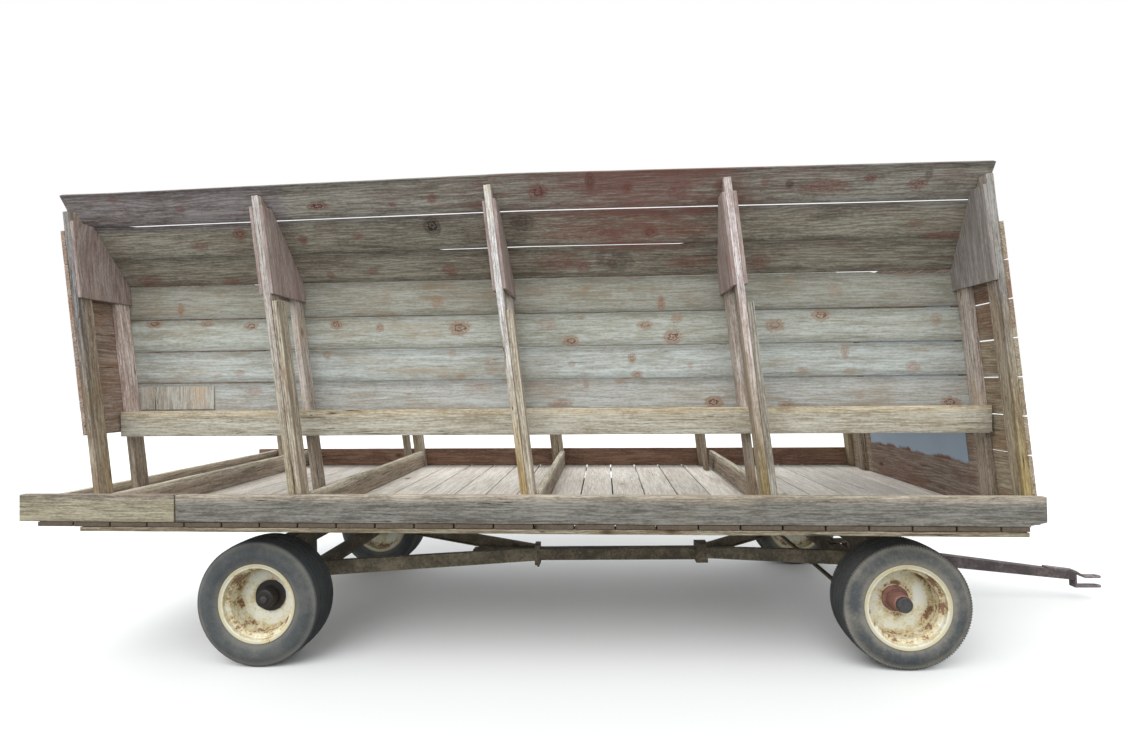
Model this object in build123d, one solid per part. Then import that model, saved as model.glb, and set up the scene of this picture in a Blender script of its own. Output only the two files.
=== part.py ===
# Feeder wagon: a wooden hopper with flared sides on a crosswise-board deck, carried by a
# four-wheel steel farm running gear with a steered front axle and a lifting tongue.
#
# Two frames are used. The ground frame has +X forward, +Y to the far side and Z up from the
# ground. The deck frame has its origin on top of the deck boards at the same x and y, and is
# pitched nose-down because the rear of the deck stands higher than the front.
# All lengths are in millimetres and all angles in degrees.
import os
from math import atan2, cos, degrees, hypot, radians, sin, tan

from build123d import *

# Deck and the height it stands at over each axle
deck_rear = -3125.0
deck_front = 2102.0
deck_half_width = 1067.0
deck_board_thickness = 25.0
deck_board_count = 25
deck_board_gap = 5.0
deck_height_rear_axle = 830.0
deck_height_front_axle = 780.0
broken_corner_length = 72.0
broken_corner_width = 90.0
edge_strip_width = 88.0
edge_strip_thickness = 26.0
edge_strip_rear = -2880.0
edge_strip_front = 2030.0
sill_width = 89.0
sill_depth = 120.0
sill_centre_y = 470.0

# Curb planks round the deck
curb_thickness = 38.0
curb_height = 150.0
curb_rear = -3232.0
curb_front = 2112.0
curb_joint = -2340.0
curb_joint_gap = 3.0
curb_chamfer = 45.0
end_curb_x = -3050.0
end_curb_height = 140.0
divider_thickness = 38.0
divider_height = 140.0

# Stations: where the posts stand, and which boards each has
# columns: name, x of the rear face at the deck, gusset on the rear face, gusset on the front
# face, sister board height (0 for none), divider offset from the rear face
stations = (
    ("one", -2834.0, False, True, 0.0, 1),
    ("two", -1728.0, True, True, 1195.0, 1),
    ("three", -469.0, True, True, 1120.0, 1),
    ("four", 778.0, True, True, 1140.0, 2),
    ("five", 2062.0, True, False, 0.0, 0),
)
rake = 6.0
post_thickness = 38.0
post_width = 89.0
post_spread = 156.0
outer_post_top = 1785.0
inner_post_top = 1400.0
sister_thickness = 38.0
gusset_thickness = 19.0
gusset_bottom = 1225.0
gusset_top = 1712.0

# Boards of the hopper
board_thickness = 25.0
rail_thickness = 38.0
rail_height = 150.0
rail_bottom = 437.0
wall_board_bottoms = (555.0, 751.0, 942.0, 1135.0)
wall_board_gap = 5.0
flare_bottom = 1335.0
flare_run = 312.5
flare_rise = 487.5
flare_gap_bottom = 4.0
flare_gap_middle = 6.0
flare_gap_top = 9.0
flare_board_one = 183.0
flare_board_two = 190.0
flare_joint_gap = 3.0
flare_overhang_rear = 56.0
flare_overhang_front = 40.0

# End walls, sheet and patch
end_board_thickness = 22.0
end_board_gap = 4.0
rear_wall_bottom = 468.0
rear_wall_pitch = 190.0
rear_wall_count = 6
front_wall_first = 143.0
front_wall_pitch = 199.0
front_wall_count = 7
front_wall_curb_clearance = 1.0
sheet_thickness = 2.0
sheet_near = -567.0
sheet_far = 600.0
sheet_bottom = 235.0
sheet_top = 1180.0
patch_thickness = 9.0
patch_rear = -2856.0
patch_length = 470.0
patch_height = 145.0

# Wheels
rear_axle_x = -1977.0
front_axle_x = 1508.0
wheel_centre_y = 845.0
rear_tyre_radius = 350.0
front_tyre_radius = 330.0
tyre_half_width = 97.0
tread_half_width = 74.0
tyre_wall = 12.0
bead_width = 21.0
crown = 4.0
tread_groove_width = 8.0
tread_groove_depth = 7.0
rim_flange_radius = 220.5
bead_radius = 203.0
rim_half_width = 74.0
rim_wall = 5.0
rim_well_radius = 178.0
disc_depth = 140.0
disc_thickness = 6.0
hub_radius_front = 50.0
hub_radius_rear = 55.0
hub_cap_radius = 36.5
hub_flange_radius = 88.0
hub_flange_thickness = 10.0
hub_cap_setback_front = 45.0
hub_cap_setback_rear = 70.0
hub_cap_length = 34.0
hub_inner_clearance = 6.0
spindle_radius = 20.0
running_clearance = 0.05
seat_clearance = 0.3

# Axles, knuckles and bolsters
beam_size = 76.0
rear_beam_bottom = 307.0
front_beam_bottom = 325.0
rear_beam_half_length = 735.0
kingpin_y = 700.0
kingpin_radius = 14.0
sleeve_radius = 28.0
sleeve_drop = 19.5
ear_radius = 30.0
ear_thickness = 18.0
ear_gap = 0.5
knuckle_plate_thickness = 13.0
knuckle_plate_gap = 4.0
arm_length = 150.0
arm_width = 40.0
arm_pin_radius = 9.0
arm_eye_radius = 24.0
bolster_size_x = 100.0
bolster_depth = 90.0
bolster_half_length = 640.0
bolster_wall = 8.0
bolster_top_rear = 640.0
bolster_top_front = 595.0
standard_y = 400.0
standard_width = 70.0

# Hounds and reach
reach_size = 75.0
reach_centre_z = 337.0
reach_rear = -980.0
reach_wall = 6.0
collar_x = -524.0
collar_length = 35.0
collar_height = 138.0
collar_wall = 12.0
clamp_x = 608.0
clamp_length = 70.0
clamp_height = 130.0
clamp_end_wall = 10.0
hound_rear_axle_y = 600.0
hound_front_axle_y = 480.0
hound_rear_depth_axle = 88.0
hound_rear_depth_apex = 84.0
hound_front_depth_axle = 86.0
hound_front_depth_apex = 74.0
hound_width = 36.0
hound_wall = 7.0
reach_pin_radius = 9.0
reach_pin_drop = 24.0

# Steering bell, tie rod, tongue and hitch
bell_pin_radius = 16.0
bell_top_thickness = 10.0
bell_radius = 45.0
bell_gap = 0.5
bell_boss_height = 5.0
bell_boss_radius = 30.0
cheek_thickness = 12.0
cheek_rear = 76.0
cheek_front = 212.0
tongue_side_clearance = 3.0
tongue_half_width = 30.0
hinge_offset = 175.0
hinge_z = 345.0
hinge_radius = 12.0
stop_length = 18.0
stop_depth = 26.0
rod_width = 24.0
rod_thickness = 15.0
rod_gap = 5.0
rod_eye_radius = 22.0
rod_open_clearance = 1.0
pin_head_radius = 14.0
pin_head_thickness = 8.0
pin_head_gap = 3.0
tongue_end_x = 3056.0
tongue_end_z = 173.0
tongue_heel_depth = 72.0
tongue_belly_depth = 80.0
tongue_belly_at = 0.3
tongue_end_depth = 50.0
tongue_wall = 6.0
tongue_solid_rear = 70.0
tongue_solid_front = 80.0
strap_half_width = 25.0
strap_thickness = 11.0
strap_rear = 2885.0
strap_tip = 3231.0
hitch_pin_x = 3196.0
hitch_pin_radius = 11.0
upper_strap_z = 158.0
lower_strap_z = 96.0
drop_plate_thickness = 12.0

# Values worked out from the driving dimensions
wheelbase = front_axle_x - rear_axle_x
deck_pitch = degrees(atan2(deck_height_rear_axle - deck_height_front_axle, wheelbase))
deck_slope = tan(radians(deck_pitch))
deck_height = deck_height_rear_axle + rear_axle_x * deck_slope
deck_place = Pos(0, 0, deck_height) * Rot(0, deck_pitch, 0)
rake_slope = tan(radians(rake))
post_run = post_thickness / cos(radians(rake))
outer_post_out = deck_half_width - curb_thickness
outer_post_in = outer_post_out - post_width
inner_post_out = outer_post_in - post_spread
inner_post_in = inner_post_out - post_width
flare_length = hypot(flare_run, flare_rise)
flare_y = flare_run / flare_length
flare_z = flare_rise / flare_length
rim_outer_y = wheel_centre_y + rim_half_width
front_beam_top = front_beam_bottom + beam_size
rear_beam_top = rear_beam_bottom + beam_size
sleeve_bottom = front_beam_bottom - sleeve_drop
arm_top = sleeve_bottom - ear_gap
arm_bottom = arm_top - ear_thickness
arm_x = front_axle_x - arm_length
rod_top = arm_bottom - rod_gap
rod_bottom = rod_top - rod_thickness
hinge_x = front_axle_x + hinge_offset
tongue_slope = (hinge_z - tongue_end_z) / (tongue_end_x - hinge_x)
far_reach = 6000.0


def block(x, y, z):
    """A box given by its lowest and highest x, y and z."""
    size = (x[1] - x[0], y[1] - y[0], z[1] - z[0])
    return Pos((x[0] + x[1]) / 2, (y[0] + y[1]) / 2, (z[0] + z[1]) / 2) * Box(*size)


def prism_along_x(points, x):
    """A prism along X, from its outline's y and z."""
    outline = make_face(Polyline(*[(x[0], py, pz) for py, pz in points], close=True))
    return extrude(outline, amount=x[1] - x[0], dir=(1, 0, 0))


def prism_along_y(points, y):
    """A prism along Y, from its outline's x and z."""
    outline = make_face(Polyline(*[(px, y[0], pz) for px, pz in points], close=True))
    return extrude(outline, amount=y[1] - y[0], dir=(0, 1, 0))


def post_pin(x, y, z, radius):
    """An upright pin at x and y over the stretch z."""
    return Pos(x, y, (z[0] + z[1]) / 2) * Cylinder(radius, z[1] - z[0])


def cross_pin(x, z, y, radius):
    """A pin along Y at x and z over the stretch y."""
    return Pos(x, (y[0] + y[1]) / 2, z) * Rot(90, 0, 0) * Cylinder(radius, y[1] - y[0])


def station_place(x):
    """The raked frame of a station: X is square to the post's faces, Z runs up the post."""
    return Pos(x, 0, 0) * Rot(0, -rake, 0)


def far_and_near(piece):
    """The far-side piece and its mirror image on the near side."""
    return [piece, mirror(piece, about=Plane.XZ)]


def flare_point(along, out):
    """A point in y and z on the far flare: along the slope, and out from its back face."""
    y = inner_post_in + along * flare_y - out * flare_z
    z = flare_bottom + along * flare_z + out * flare_y
    return y, z


def hopper_space():
    """The space above the far flare's back face, which trims posts and gussets."""
    low = flare_point(-board_thickness * 4, 0)
    high = flare_point(flare_length * 2, 0)
    points = [low, high, (0, high[1]), (0, low[1])]
    return prism_along_x(points, (-far_reach, far_reach))


hopper_trim = hopper_space()


def deck_boards():
    """Crosswise boards with narrow gaps; the foremost has its near corner broken off."""
    pitch = (deck_front - deck_rear + deck_board_gap) / deck_board_count
    boards = []
    for number in range(deck_board_count):
        rear = deck_rear + number * pitch
        board = block(
            (rear, rear + pitch - deck_board_gap),
            (-deck_half_width, deck_half_width),
            (-deck_board_thickness, 0),
        )
        boards.append(board)
    corner = block(
        (deck_front - broken_corner_length, deck_front + 1),
        (-deck_half_width - 1, -deck_half_width + broken_corner_width),
        (-deck_board_thickness - 1, 1),
    )
    boards[-1] = boards[-1] - corner
    return boards


def edge_strips():
    """Strips nailed under the ends of the deck boards."""
    strip = block(
        (edge_strip_rear, edge_strip_front),
        (deck_half_width - edge_strip_width, deck_half_width),
        (-deck_board_thickness - edge_strip_thickness, -deck_board_thickness),
    )
    return far_and_near(strip)


def deck_sills():
    """The two lengthwise timbers that carry the deck boards."""
    sill = block(
        (edge_strip_rear, edge_strip_front),
        (sill_centre_y - sill_width / 2, sill_centre_y + sill_width / 2),
        (-deck_board_thickness - sill_depth, -deck_board_thickness),
    )
    return far_and_near(sill)


def side_curb(side):
    """Side planks on edge; the near side is in two pieces with a worn front corner."""
    y = (deck_half_width - curb_thickness, deck_half_width)
    if side > 0:
        return [block((curb_rear, curb_front), y, (0, curb_height))]
    y = (-y[1], -y[0])
    rear_piece = block((curb_rear, curb_joint - curb_joint_gap), y, (0, curb_height))
    outline = [
        (curb_joint, 0),
        (curb_front - curb_chamfer * 2, 0),
        (curb_front, curb_chamfer / 2),
        (curb_front, curb_height),
        (curb_joint, curb_height),
    ]
    return [rear_piece, prism_along_y(outline, y)]


def rear_curb():
    """The plank on edge across the overhanging rear of the deck."""
    inside = deck_half_width - curb_thickness
    return [block((end_curb_x - curb_thickness, end_curb_x), (-inside, inside), (0, end_curb_height))]


def divider_planks():
    """Planks on edge across the deck beside the posts of each station."""
    planks = []
    for name, x, rear_gusset, front_gusset, sister, steps in stations:
        if steps == 0:
            continue
        rear = x + post_run + (steps - 1) * (sister_thickness + 1)
        reach_out = outer_post_in if sister else outer_post_out
        plank = block((rear, rear + divider_thickness), (-reach_out, reach_out), (0, divider_height))
        planks.append(plank)
    return planks


def post(x, y, top, offset=0.0, thickness=post_thickness):
    """A raked post: its foot is cut level and its head follows the flare."""
    outline = [
        (offset, -offset * rake_slope),
        (offset + thickness, -(offset + thickness) * rake_slope),
        (offset + thickness, top),
        (offset, top),
    ]
    return station_place(x) * prism_along_y(outline, y) - hopper_trim


def outer_posts():
    """The outer uprights, against the inside of the side curbs."""
    posts = []
    for name, x, *rest in stations:
        posts += far_and_near(post(x, (outer_post_in, outer_post_out), outer_post_top))
    return posts


def inner_posts():
    """The inner uprights, which carry the rail and the wall boards."""
    posts = []
    for name, x, *rest in stations:
        posts += far_and_near(post(x, (inner_post_in, inner_post_out), inner_post_top))
    return posts


def sister_boards():
    """Rough timbers nailed to the front faces of the middle outer posts."""
    boards = []
    for name, x, rear_gusset, front_gusset, height, steps in stations:
        if height:
            y = (outer_post_in, outer_post_out)
            boards += far_and_near(post(x, y, height, post_thickness, sister_thickness))
    return boards


def gussets():
    """Plates over both posts of a station; their sloping edges carry the flare boards."""
    head = flare_point(flare_length, 0)
    outline = [
        (inner_post_in, gusset_bottom),
        (outer_post_out, gusset_bottom),
        (outer_post_out, gusset_top),
        (head[0] - (head[1] - gusset_top) * flare_run / flare_rise - board_thickness, gusset_top),
        (inner_post_in, flare_bottom + board_thickness),
    ]
    plates = []
    for name, x, on_rear, on_front, *rest in stations:
        faces = []
        if on_rear:
            faces.append((-gusset_thickness, 0))
        if on_front:
            faces.append((post_thickness, post_thickness + gusset_thickness))
        for face in faces:
            plate = station_place(x) * prism_along_x(outline, face) - hopper_trim
            plates += far_and_near(plate)
    return plates


def board_ends(bottom, top):
    """Where a level board starts and ends so that it stays between the raked end walls."""
    rear = stations[0][1] - bottom * rake_slope
    front = stations[-1][1] + post_run - top * rake_slope
    return rear, front


def feed_rails():
    """The rails that the cattle reach under, on the outer faces of the inner posts."""
    rear, front = board_ends(rail_bottom, rail_bottom + rail_height)
    rail = block(
        (rear, front),
        (inner_post_out, inner_post_out + rail_thickness),
        (rail_bottom, rail_bottom + rail_height),
    )
    return far_and_near(rail)


def wall_boards():
    """The upright boards of the hopper's far side, on the inner faces of the inner posts."""
    tops = wall_board_bottoms[1:] + (flare_bottom,)
    boards = []
    for bottom, next_bottom in zip(wall_board_bottoms, tops):
        top = next_bottom - wall_board_gap
        rear, front = board_ends(bottom, top)
        boards.append(block((rear, front), (inner_post_in - board_thickness, inner_post_in), (bottom, top)))
    return boards


def flare_board(start, width, x):
    """One sloping board of the far flare from where it starts along the slope."""
    points = [
        flare_point(start, 0),
        flare_point(start + width, 0),
        flare_point(start + width, board_thickness),
        flare_point(start, board_thickness),
    ]
    return prism_along_x(points, x)


def flare_boards():
    """The sloping boards of the far side; the upper two are butted at the middle station."""
    first = flare_gap_bottom
    second = first + flare_board_one + flare_gap_middle
    third = second + flare_board_two + flare_gap_top
    # columns: start along the slope, width, butted, overhanging
    rows = (
        (first, flare_board_one, False, False),
        (second, flare_board_two, True, False),
        (third, flare_length - third, True, True),
    )
    boards = []
    for start, width, butted, overhanging in rows:
        low = flare_point(start, 0)[1]
        high = flare_point(start + width, board_thickness)[1]
        rear, front = board_ends(low, high)
        if overhanging:
            rear -= flare_overhang_rear
            front += flare_overhang_front
        middle = stations[2][1] + post_run / 2 - (low + high) / 2 * rake_slope
        if butted:
            boards.append(flare_board(start, width, (rear, middle - flare_joint_gap / 2)))
            boards.append(flare_board(start, width, (middle + flare_joint_gap / 2, front)))
        else:
            boards.append(flare_board(start, width, (rear, front)))
    return boards


def rear_end_wall():
    """Boards across the rear faces of the rear posts, down to the rail only."""
    boards = []
    for number in range(rear_wall_count):
        bottom = rear_wall_bottom + number * rear_wall_pitch
        top = bottom + rear_wall_pitch - end_board_gap
        y = (-outer_post_out, outer_post_out)
        board = block((-end_board_thickness, 0), y, (bottom, top))
        boards.append(station_place(stations[0][1]) * board)
    return boards


def front_end_wall():
    """Boards across the front faces of the front posts, down to the deck."""
    half = outer_post_out - front_wall_curb_clearance
    bottoms = [0.0]
    bottoms += [front_wall_first + number * front_wall_pitch for number in range(front_wall_count)]
    tops = bottoms[1:] + [front_wall_first + front_wall_count * front_wall_pitch]
    boards = []
    for bottom, top in zip(bottoms, tops):
        board = block(
            (post_thickness, post_thickness + end_board_thickness),
            (-half, half),
            (bottom, top - end_board_gap),
        )
        boards.append(station_place(stations[-1][1]) * board)
    return boards


def metal_sheet():
    """A plain sheet on the inside of the front wall, between the inner posts."""
    sheet = block(
        (post_thickness - sheet_thickness, post_thickness),
        (sheet_near, sheet_far),
        (sheet_bottom, sheet_top),
    )
    return [station_place(stations[-1][1]) * sheet]


def plywood_patch():
    """A patch on the outer face of the near wall boards, just above the rail."""
    low = rail_bottom + rail_height
    patch = block(
        (patch_rear, patch_rear + patch_length),
        (-inner_post_in - patch_thickness, -inner_post_in),
        (low, low + patch_height),
    )
    return [patch]


def tyre(radius, side, axle_x):
    """A hollow tyre with rounded shoulders and three tread grooves."""
    bead_y = rim_half_width - rim_wall - seat_clearance
    bead = bead_radius + seat_clearance
    lip = rim_flange_radius + seat_clearance * 2
    belly = (lip + radius) / 2
    shoulder = radius - crown
    inner = radius - tyre_wall - tread_groove_depth
    toe_y = bead_y - bead_width
    inner_shoulder_y = tread_half_width - tyre_wall
    edges = [
        Line((-tread_half_width, shoulder), (0, radius)),
        Line((0, radius), (tread_half_width, shoulder)),
        ThreePointArc((tread_half_width, shoulder), (tyre_half_width, belly), (bead_y, lip)),
        Line((bead_y, lip), (bead_y, bead)),
        Line((bead_y, bead), (toe_y, bead)),
        Line((toe_y, bead), (bead_y - tyre_wall, lip)),
        ThreePointArc(
            (bead_y - tyre_wall, lip), (tyre_half_width - tyre_wall, belly), (inner_shoulder_y, inner)
        ),
        Line((inner_shoulder_y, inner), (-inner_shoulder_y, inner)),
        ThreePointArc(
            (-inner_shoulder_y, inner), (tyre_wall - tyre_half_width, belly), (tyre_wall - bead_y, lip)
        ),
        Line((tyre_wall - bead_y, lip), (-toe_y, bead)),
        Line((-toe_y, bead), (-bead_y, bead)),
        Line((-bead_y, bead), (-bead_y, lip)),
        ThreePointArc((-bead_y, lip), (-tyre_half_width, belly), (-tread_half_width, shoulder)),
    ]
    section = make_face(edges)
    half_groove = tread_groove_width / 2
    for centre in (-tread_half_width / 2, 0, tread_half_width / 2):
        groove = Pos(centre, radius) * Rectangle(half_groove * 2, tread_groove_depth * 2)
        section -= groove
    return wheel_turn(section, side, axle_x, radius)


def wheel_turn(section, side, axle_x, height):
    """Turn a section, drawn as outward distance and radius, about a wheel's axis."""
    upright = Rot(90, 0, 0) * section
    turned = revolve(upright, Axis.X, 360)
    return Pos(axle_x, side * wheel_centre_y, height) * Rot(0, 0, side * 90) * turned


def rim(side, axle_x, height):
    """A drop-centre rim with a deep dished disc welded near its inner flange."""
    out = rim_half_width
    disc_face = out - disc_depth
    seat = bead_radius
    outer_line = [
        (out, rim_flange_radius),
        (out - rim_wall, rim_flange_radius),
        (out - rim_wall, seat),
        (out - 26, seat),
        (out - 36, rim_well_radius + rim_wall),
        (0, rim_well_radius + rim_wall),
        (-10, seat),
        (rim_wall - out, seat),
        (rim_wall - out, rim_flange_radius),
        (-out, rim_flange_radius),
    ]
    inner_line = [
        (-out, seat - rim_wall),
        (disc_face - disc_thickness, seat - rim_wall),
        (disc_face - disc_thickness, hub_flange_radius - 20),
        (disc_face, hub_flange_radius - 20),
        (disc_face, seat - rim_wall * 3),
        (disc_face + 12, seat - rim_wall),
        (-8, seat - rim_wall),
        (2, rim_well_radius),
        (out - 38, rim_well_radius),
        (out - 28, seat - rim_wall),
        (out, seat - rim_wall),
    ]
    section = make_face(Polyline(*(outer_line + inner_line), close=True))
    return wheel_turn(section, side, axle_x, height)


def hub(side, axle_x, height, radius, cap_setback):
    """A hub barrel with its flange on the wheel disc, a cap, and a blind spindle bore."""
    inner_end = hub_inner_end()
    cap_end = rim_half_width - cap_setback
    barrel_end = cap_end - hub_cap_length
    disc_face = rim_half_width - disc_depth
    bore = spindle_radius + running_clearance
    bolt_circle_inside = hub_flange_radius - 20 - seat_clearance
    points = [
        (inner_end, bore),
        (inner_end, radius),
        (disc_face, min(radius, bolt_circle_inside)),
        (disc_face, hub_flange_radius),
        (disc_face + hub_flange_thickness, hub_flange_radius),
        (disc_face + hub_flange_thickness, radius),
        (barrel_end - 6, radius),
        (barrel_end, radius - 6),
        (barrel_end, hub_cap_radius),
        (cap_end - 6, hub_cap_radius),
        (cap_end, hub_cap_radius - 8),
        (cap_end, 0),
        (spindle_end() + 2, 0),
        (spindle_end() + 2, bore),
    ]
    section = make_face(Polyline(*points, close=True))
    return wheel_turn(section, side, axle_x, height)


def hub_inner_end():
    """Inner end of a hub, outward from the wheel's middle plane."""
    plate_out = kingpin_y + sleeve_radius + knuckle_plate_gap + knuckle_plate_thickness
    return plate_out + hub_inner_clearance - wheel_centre_y


def spindle_end():
    """Outer end of a spindle, outward from the wheel's middle plane."""
    return rim_half_width - hub_cap_setback_rear - hub_cap_length - 10


def rear_axle():
    """The rear axle: a square beam with a spindle at each end."""
    half = beam_size / 2
    beam = block(
        (rear_axle_x - half, rear_axle_x + half),
        (-rear_beam_half_length, rear_beam_half_length),
        (rear_beam_bottom, rear_beam_top),
    )
    reach_out = wheel_centre_y + spindle_end()
    spindle = cross_pin(rear_axle_x, rear_tyre_radius, (-reach_out, reach_out), spindle_radius)
    return [beam + spindle]


def front_axle():
    """The front axle: a square beam with a kingpin sleeve at each end and the bell's bore."""
    half = beam_size / 2
    axle = block(
        (front_axle_x - half, front_axle_x + half),
        (-kingpin_y, kingpin_y),
        (front_beam_bottom, front_beam_top),
    )
    trim = beam_size
    for side in (-1, 1):
        y = side * kingpin_y
        end = block(
            (front_axle_x - trim, front_axle_x + trim),
            (y - sleeve_radius, y + sleeve_radius),
            (front_beam_bottom - 1, front_beam_top + 1),
        )
        axle -= end
        axle += post_pin(front_axle_x, y, (sleeve_bottom, front_beam_top), sleeve_radius)
        neck_y = sorted((y - side * sleeve_radius, y))
        neck = block(
            (front_axle_x - sleeve_radius, front_axle_x + sleeve_radius),
            neck_y,
            (front_beam_bottom, front_beam_top),
        )
        axle += neck
    hole = (sleeve_bottom - 1, front_beam_top + 1)
    for side in (-1, 1):
        axle -= post_pin(front_axle_x, side * kingpin_y, hole, kingpin_radius + running_clearance)
    axle -= post_pin(front_axle_x, 0, hole, bell_pin_radius + running_clearance)
    return [axle]


def knuckle(side):
    """A steering knuckle: fork, kingpin, spindle, steering arm and the arm's rod pin."""
    y = side * kingpin_y
    ear_top = (front_beam_top + ear_gap, front_beam_top + ear_gap + ear_thickness)
    ear_bottom = (arm_bottom, arm_top)
    plate_in = kingpin_y + sleeve_radius + knuckle_plate_gap
    plate_out = plate_in + knuckle_plate_thickness
    body = block(
        (front_axle_x - ear_radius, front_axle_x + ear_radius),
        sorted((side * plate_in, side * plate_out)),
        (arm_bottom, ear_top[1]),
    )
    for ear in (ear_top, ear_bottom):
        body += post_pin(front_axle_x, y, ear, ear_radius)
        web = block(
            (front_axle_x - ear_radius, front_axle_x + ear_radius), sorted((y, side * plate_in)), ear
        )
        body += web
    body += post_pin(front_axle_x, y, (arm_bottom - 4, ear_top[1] + 6), kingpin_radius)
    spindle_y = sorted((side * plate_in, side * (wheel_centre_y + spindle_end())))
    body += cross_pin(front_axle_x, front_tyre_radius, spindle_y, spindle_radius)
    arm = block(
        (arm_x, front_axle_x),
        (y - arm_width / 2, y + arm_width / 2),
        ear_bottom,
    )
    body += arm
    body += post_pin(arm_x, y, ear_bottom, arm_eye_radius)
    body += rod_pin(arm_x, y, arm_top)
    return [body]


def rod_pin(x, y, top):
    """A headed pin that hangs from an arm and passes down through the tie rod."""
    pin = post_pin(x, y, (rod_bottom - pin_head_gap, top), arm_pin_radius)
    head = (rod_bottom - pin_head_gap - pin_head_thickness, rod_bottom - pin_head_gap)
    return pin + post_pin(x, y, head, pin_head_radius)


def tie_rod():
    """The rod that joins the bell's arm to both knuckle arms."""
    x = arm_x
    z = (rod_bottom, rod_top)
    rod = block((x - rod_width / 2, x + rod_width / 2), (-kingpin_y, kingpin_y), z)
    # columns: y of the eye, clearance round its pin
    eyes = (
        (-kingpin_y, rod_open_clearance),
        (0.0, running_clearance),
        (kingpin_y, rod_open_clearance),
    )
    for y, clearance in eyes:
        rod += post_pin(x, y, z, rod_eye_radius)
    for y, clearance in eyes:
        rod -= post_pin(x, y, (z[0] - 1, z[1] + 1), arm_pin_radius + clearance)
    return [rod]


def steering_bell():
    """The bell at the middle of the front axle: it turns with the tongue and moves the rod."""
    x = front_axle_x
    arm_z = (arm_bottom, arm_top)
    boss_z = (front_beam_top + bell_gap, front_beam_top + bell_gap + bell_boss_height)
    top_z = (boss_z[1], boss_z[1] + bell_top_thickness)
    cheek_in = tongue_half_width + tongue_side_clearance
    cheek_out = cheek_in + cheek_thickness
    bell = post_pin(x, 0, arm_z, bell_radius)
    bell += block((arm_x, x + cheek_rear + cheek_thickness), (-bell_radius, bell_radius), arm_z)
    bell += post_pin(arm_x, 0, arm_z, bell_radius)
    bell += post_pin(x, 0, (arm_bottom, front_beam_bottom - bell_gap), bell_boss_radius)
    bell += post_pin(x, 0, boss_z, bell_boss_radius)
    bell += post_pin(x, 0, top_z, bell_radius)
    bell += block((x, x + cheek_rear + cheek_thickness), (-cheek_out, cheek_out), top_z)
    bell += post_pin(x, 0, (arm_bottom, top_z[1] + 6), bell_pin_radius)
    for side in (-1, 1):
        cheek = block(
            (x + cheek_rear, x + cheek_front),
            sorted((side * cheek_in, side * cheek_out)),
            (arm_bottom, top_z[1]),
        )
        bell += cheek
    bell += cross_pin(hinge_x, hinge_z, (-cheek_out - 8, cheek_out + 8), hinge_radius)
    bell += rod_pin(arm_x, 0, arm_top)
    stop_x = (x + cheek_front - stop_length, x + cheek_front)
    bell += block(stop_x, (-cheek_out, cheek_out), (arm_bottom, arm_bottom + stop_depth))
    bell -= tongue_room(stop_x)
    return [bell]


def tongue_outline(extra):
    """The tongue's side outline in x and z, grown by an even margin."""
    belly_x = hinge_x + (tongue_end_x - hinge_x) * tongue_belly_at
    # columns: x, depth there
    rows = (
        (hinge_x, tongue_heel_depth),
        (belly_x, tongue_belly_depth),
        (tongue_end_x, tongue_end_depth),
    )
    upper = []
    lower = []
    for x, depth in rows:
        middle = hinge_z - (x - hinge_x) * tongue_slope
        upper.append((x, middle + depth / 2 + extra))
        lower.append((x, middle - depth / 2 - extra))
    return upper + lower[::-1]


def tongue_room(x):
    """The space that the tongue's underside needs over the bell's stop."""
    outline = tongue_outline(seat_clearance)
    return prism_along_y(outline, (-tongue_half_width, tongue_half_width)) & block(
        x, (-tongue_half_width, tongue_half_width), (0, far_reach)
    )


def tongue():
    """The tongue: a hollow tapered beam with a round heel on the hinge bolt."""
    y = (-tongue_half_width, tongue_half_width)
    beam = prism_along_y(tongue_outline(0), y)
    beam += cross_pin(hinge_x, hinge_z, y, tongue_heel_depth / 2)
    hollow = prism_along_y(
        tongue_outline(-tongue_wall),
        (-tongue_half_width + tongue_wall, tongue_half_width - tongue_wall),
    )
    hollow &= block(
        (hinge_x + tongue_solid_rear, tongue_end_x - tongue_solid_front), y, (0, far_reach)
    )
    # the underside is open, as on a channel
    drop = tongue_wall * 2
    beam -= hollow + Pos(0, 0, -drop) * hollow
    bolt = (-tongue_half_width - 1, tongue_half_width + 1)
    beam -= cross_pin(hinge_x, hinge_z, bolt, hinge_radius + running_clearance)
    return [beam]


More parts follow.
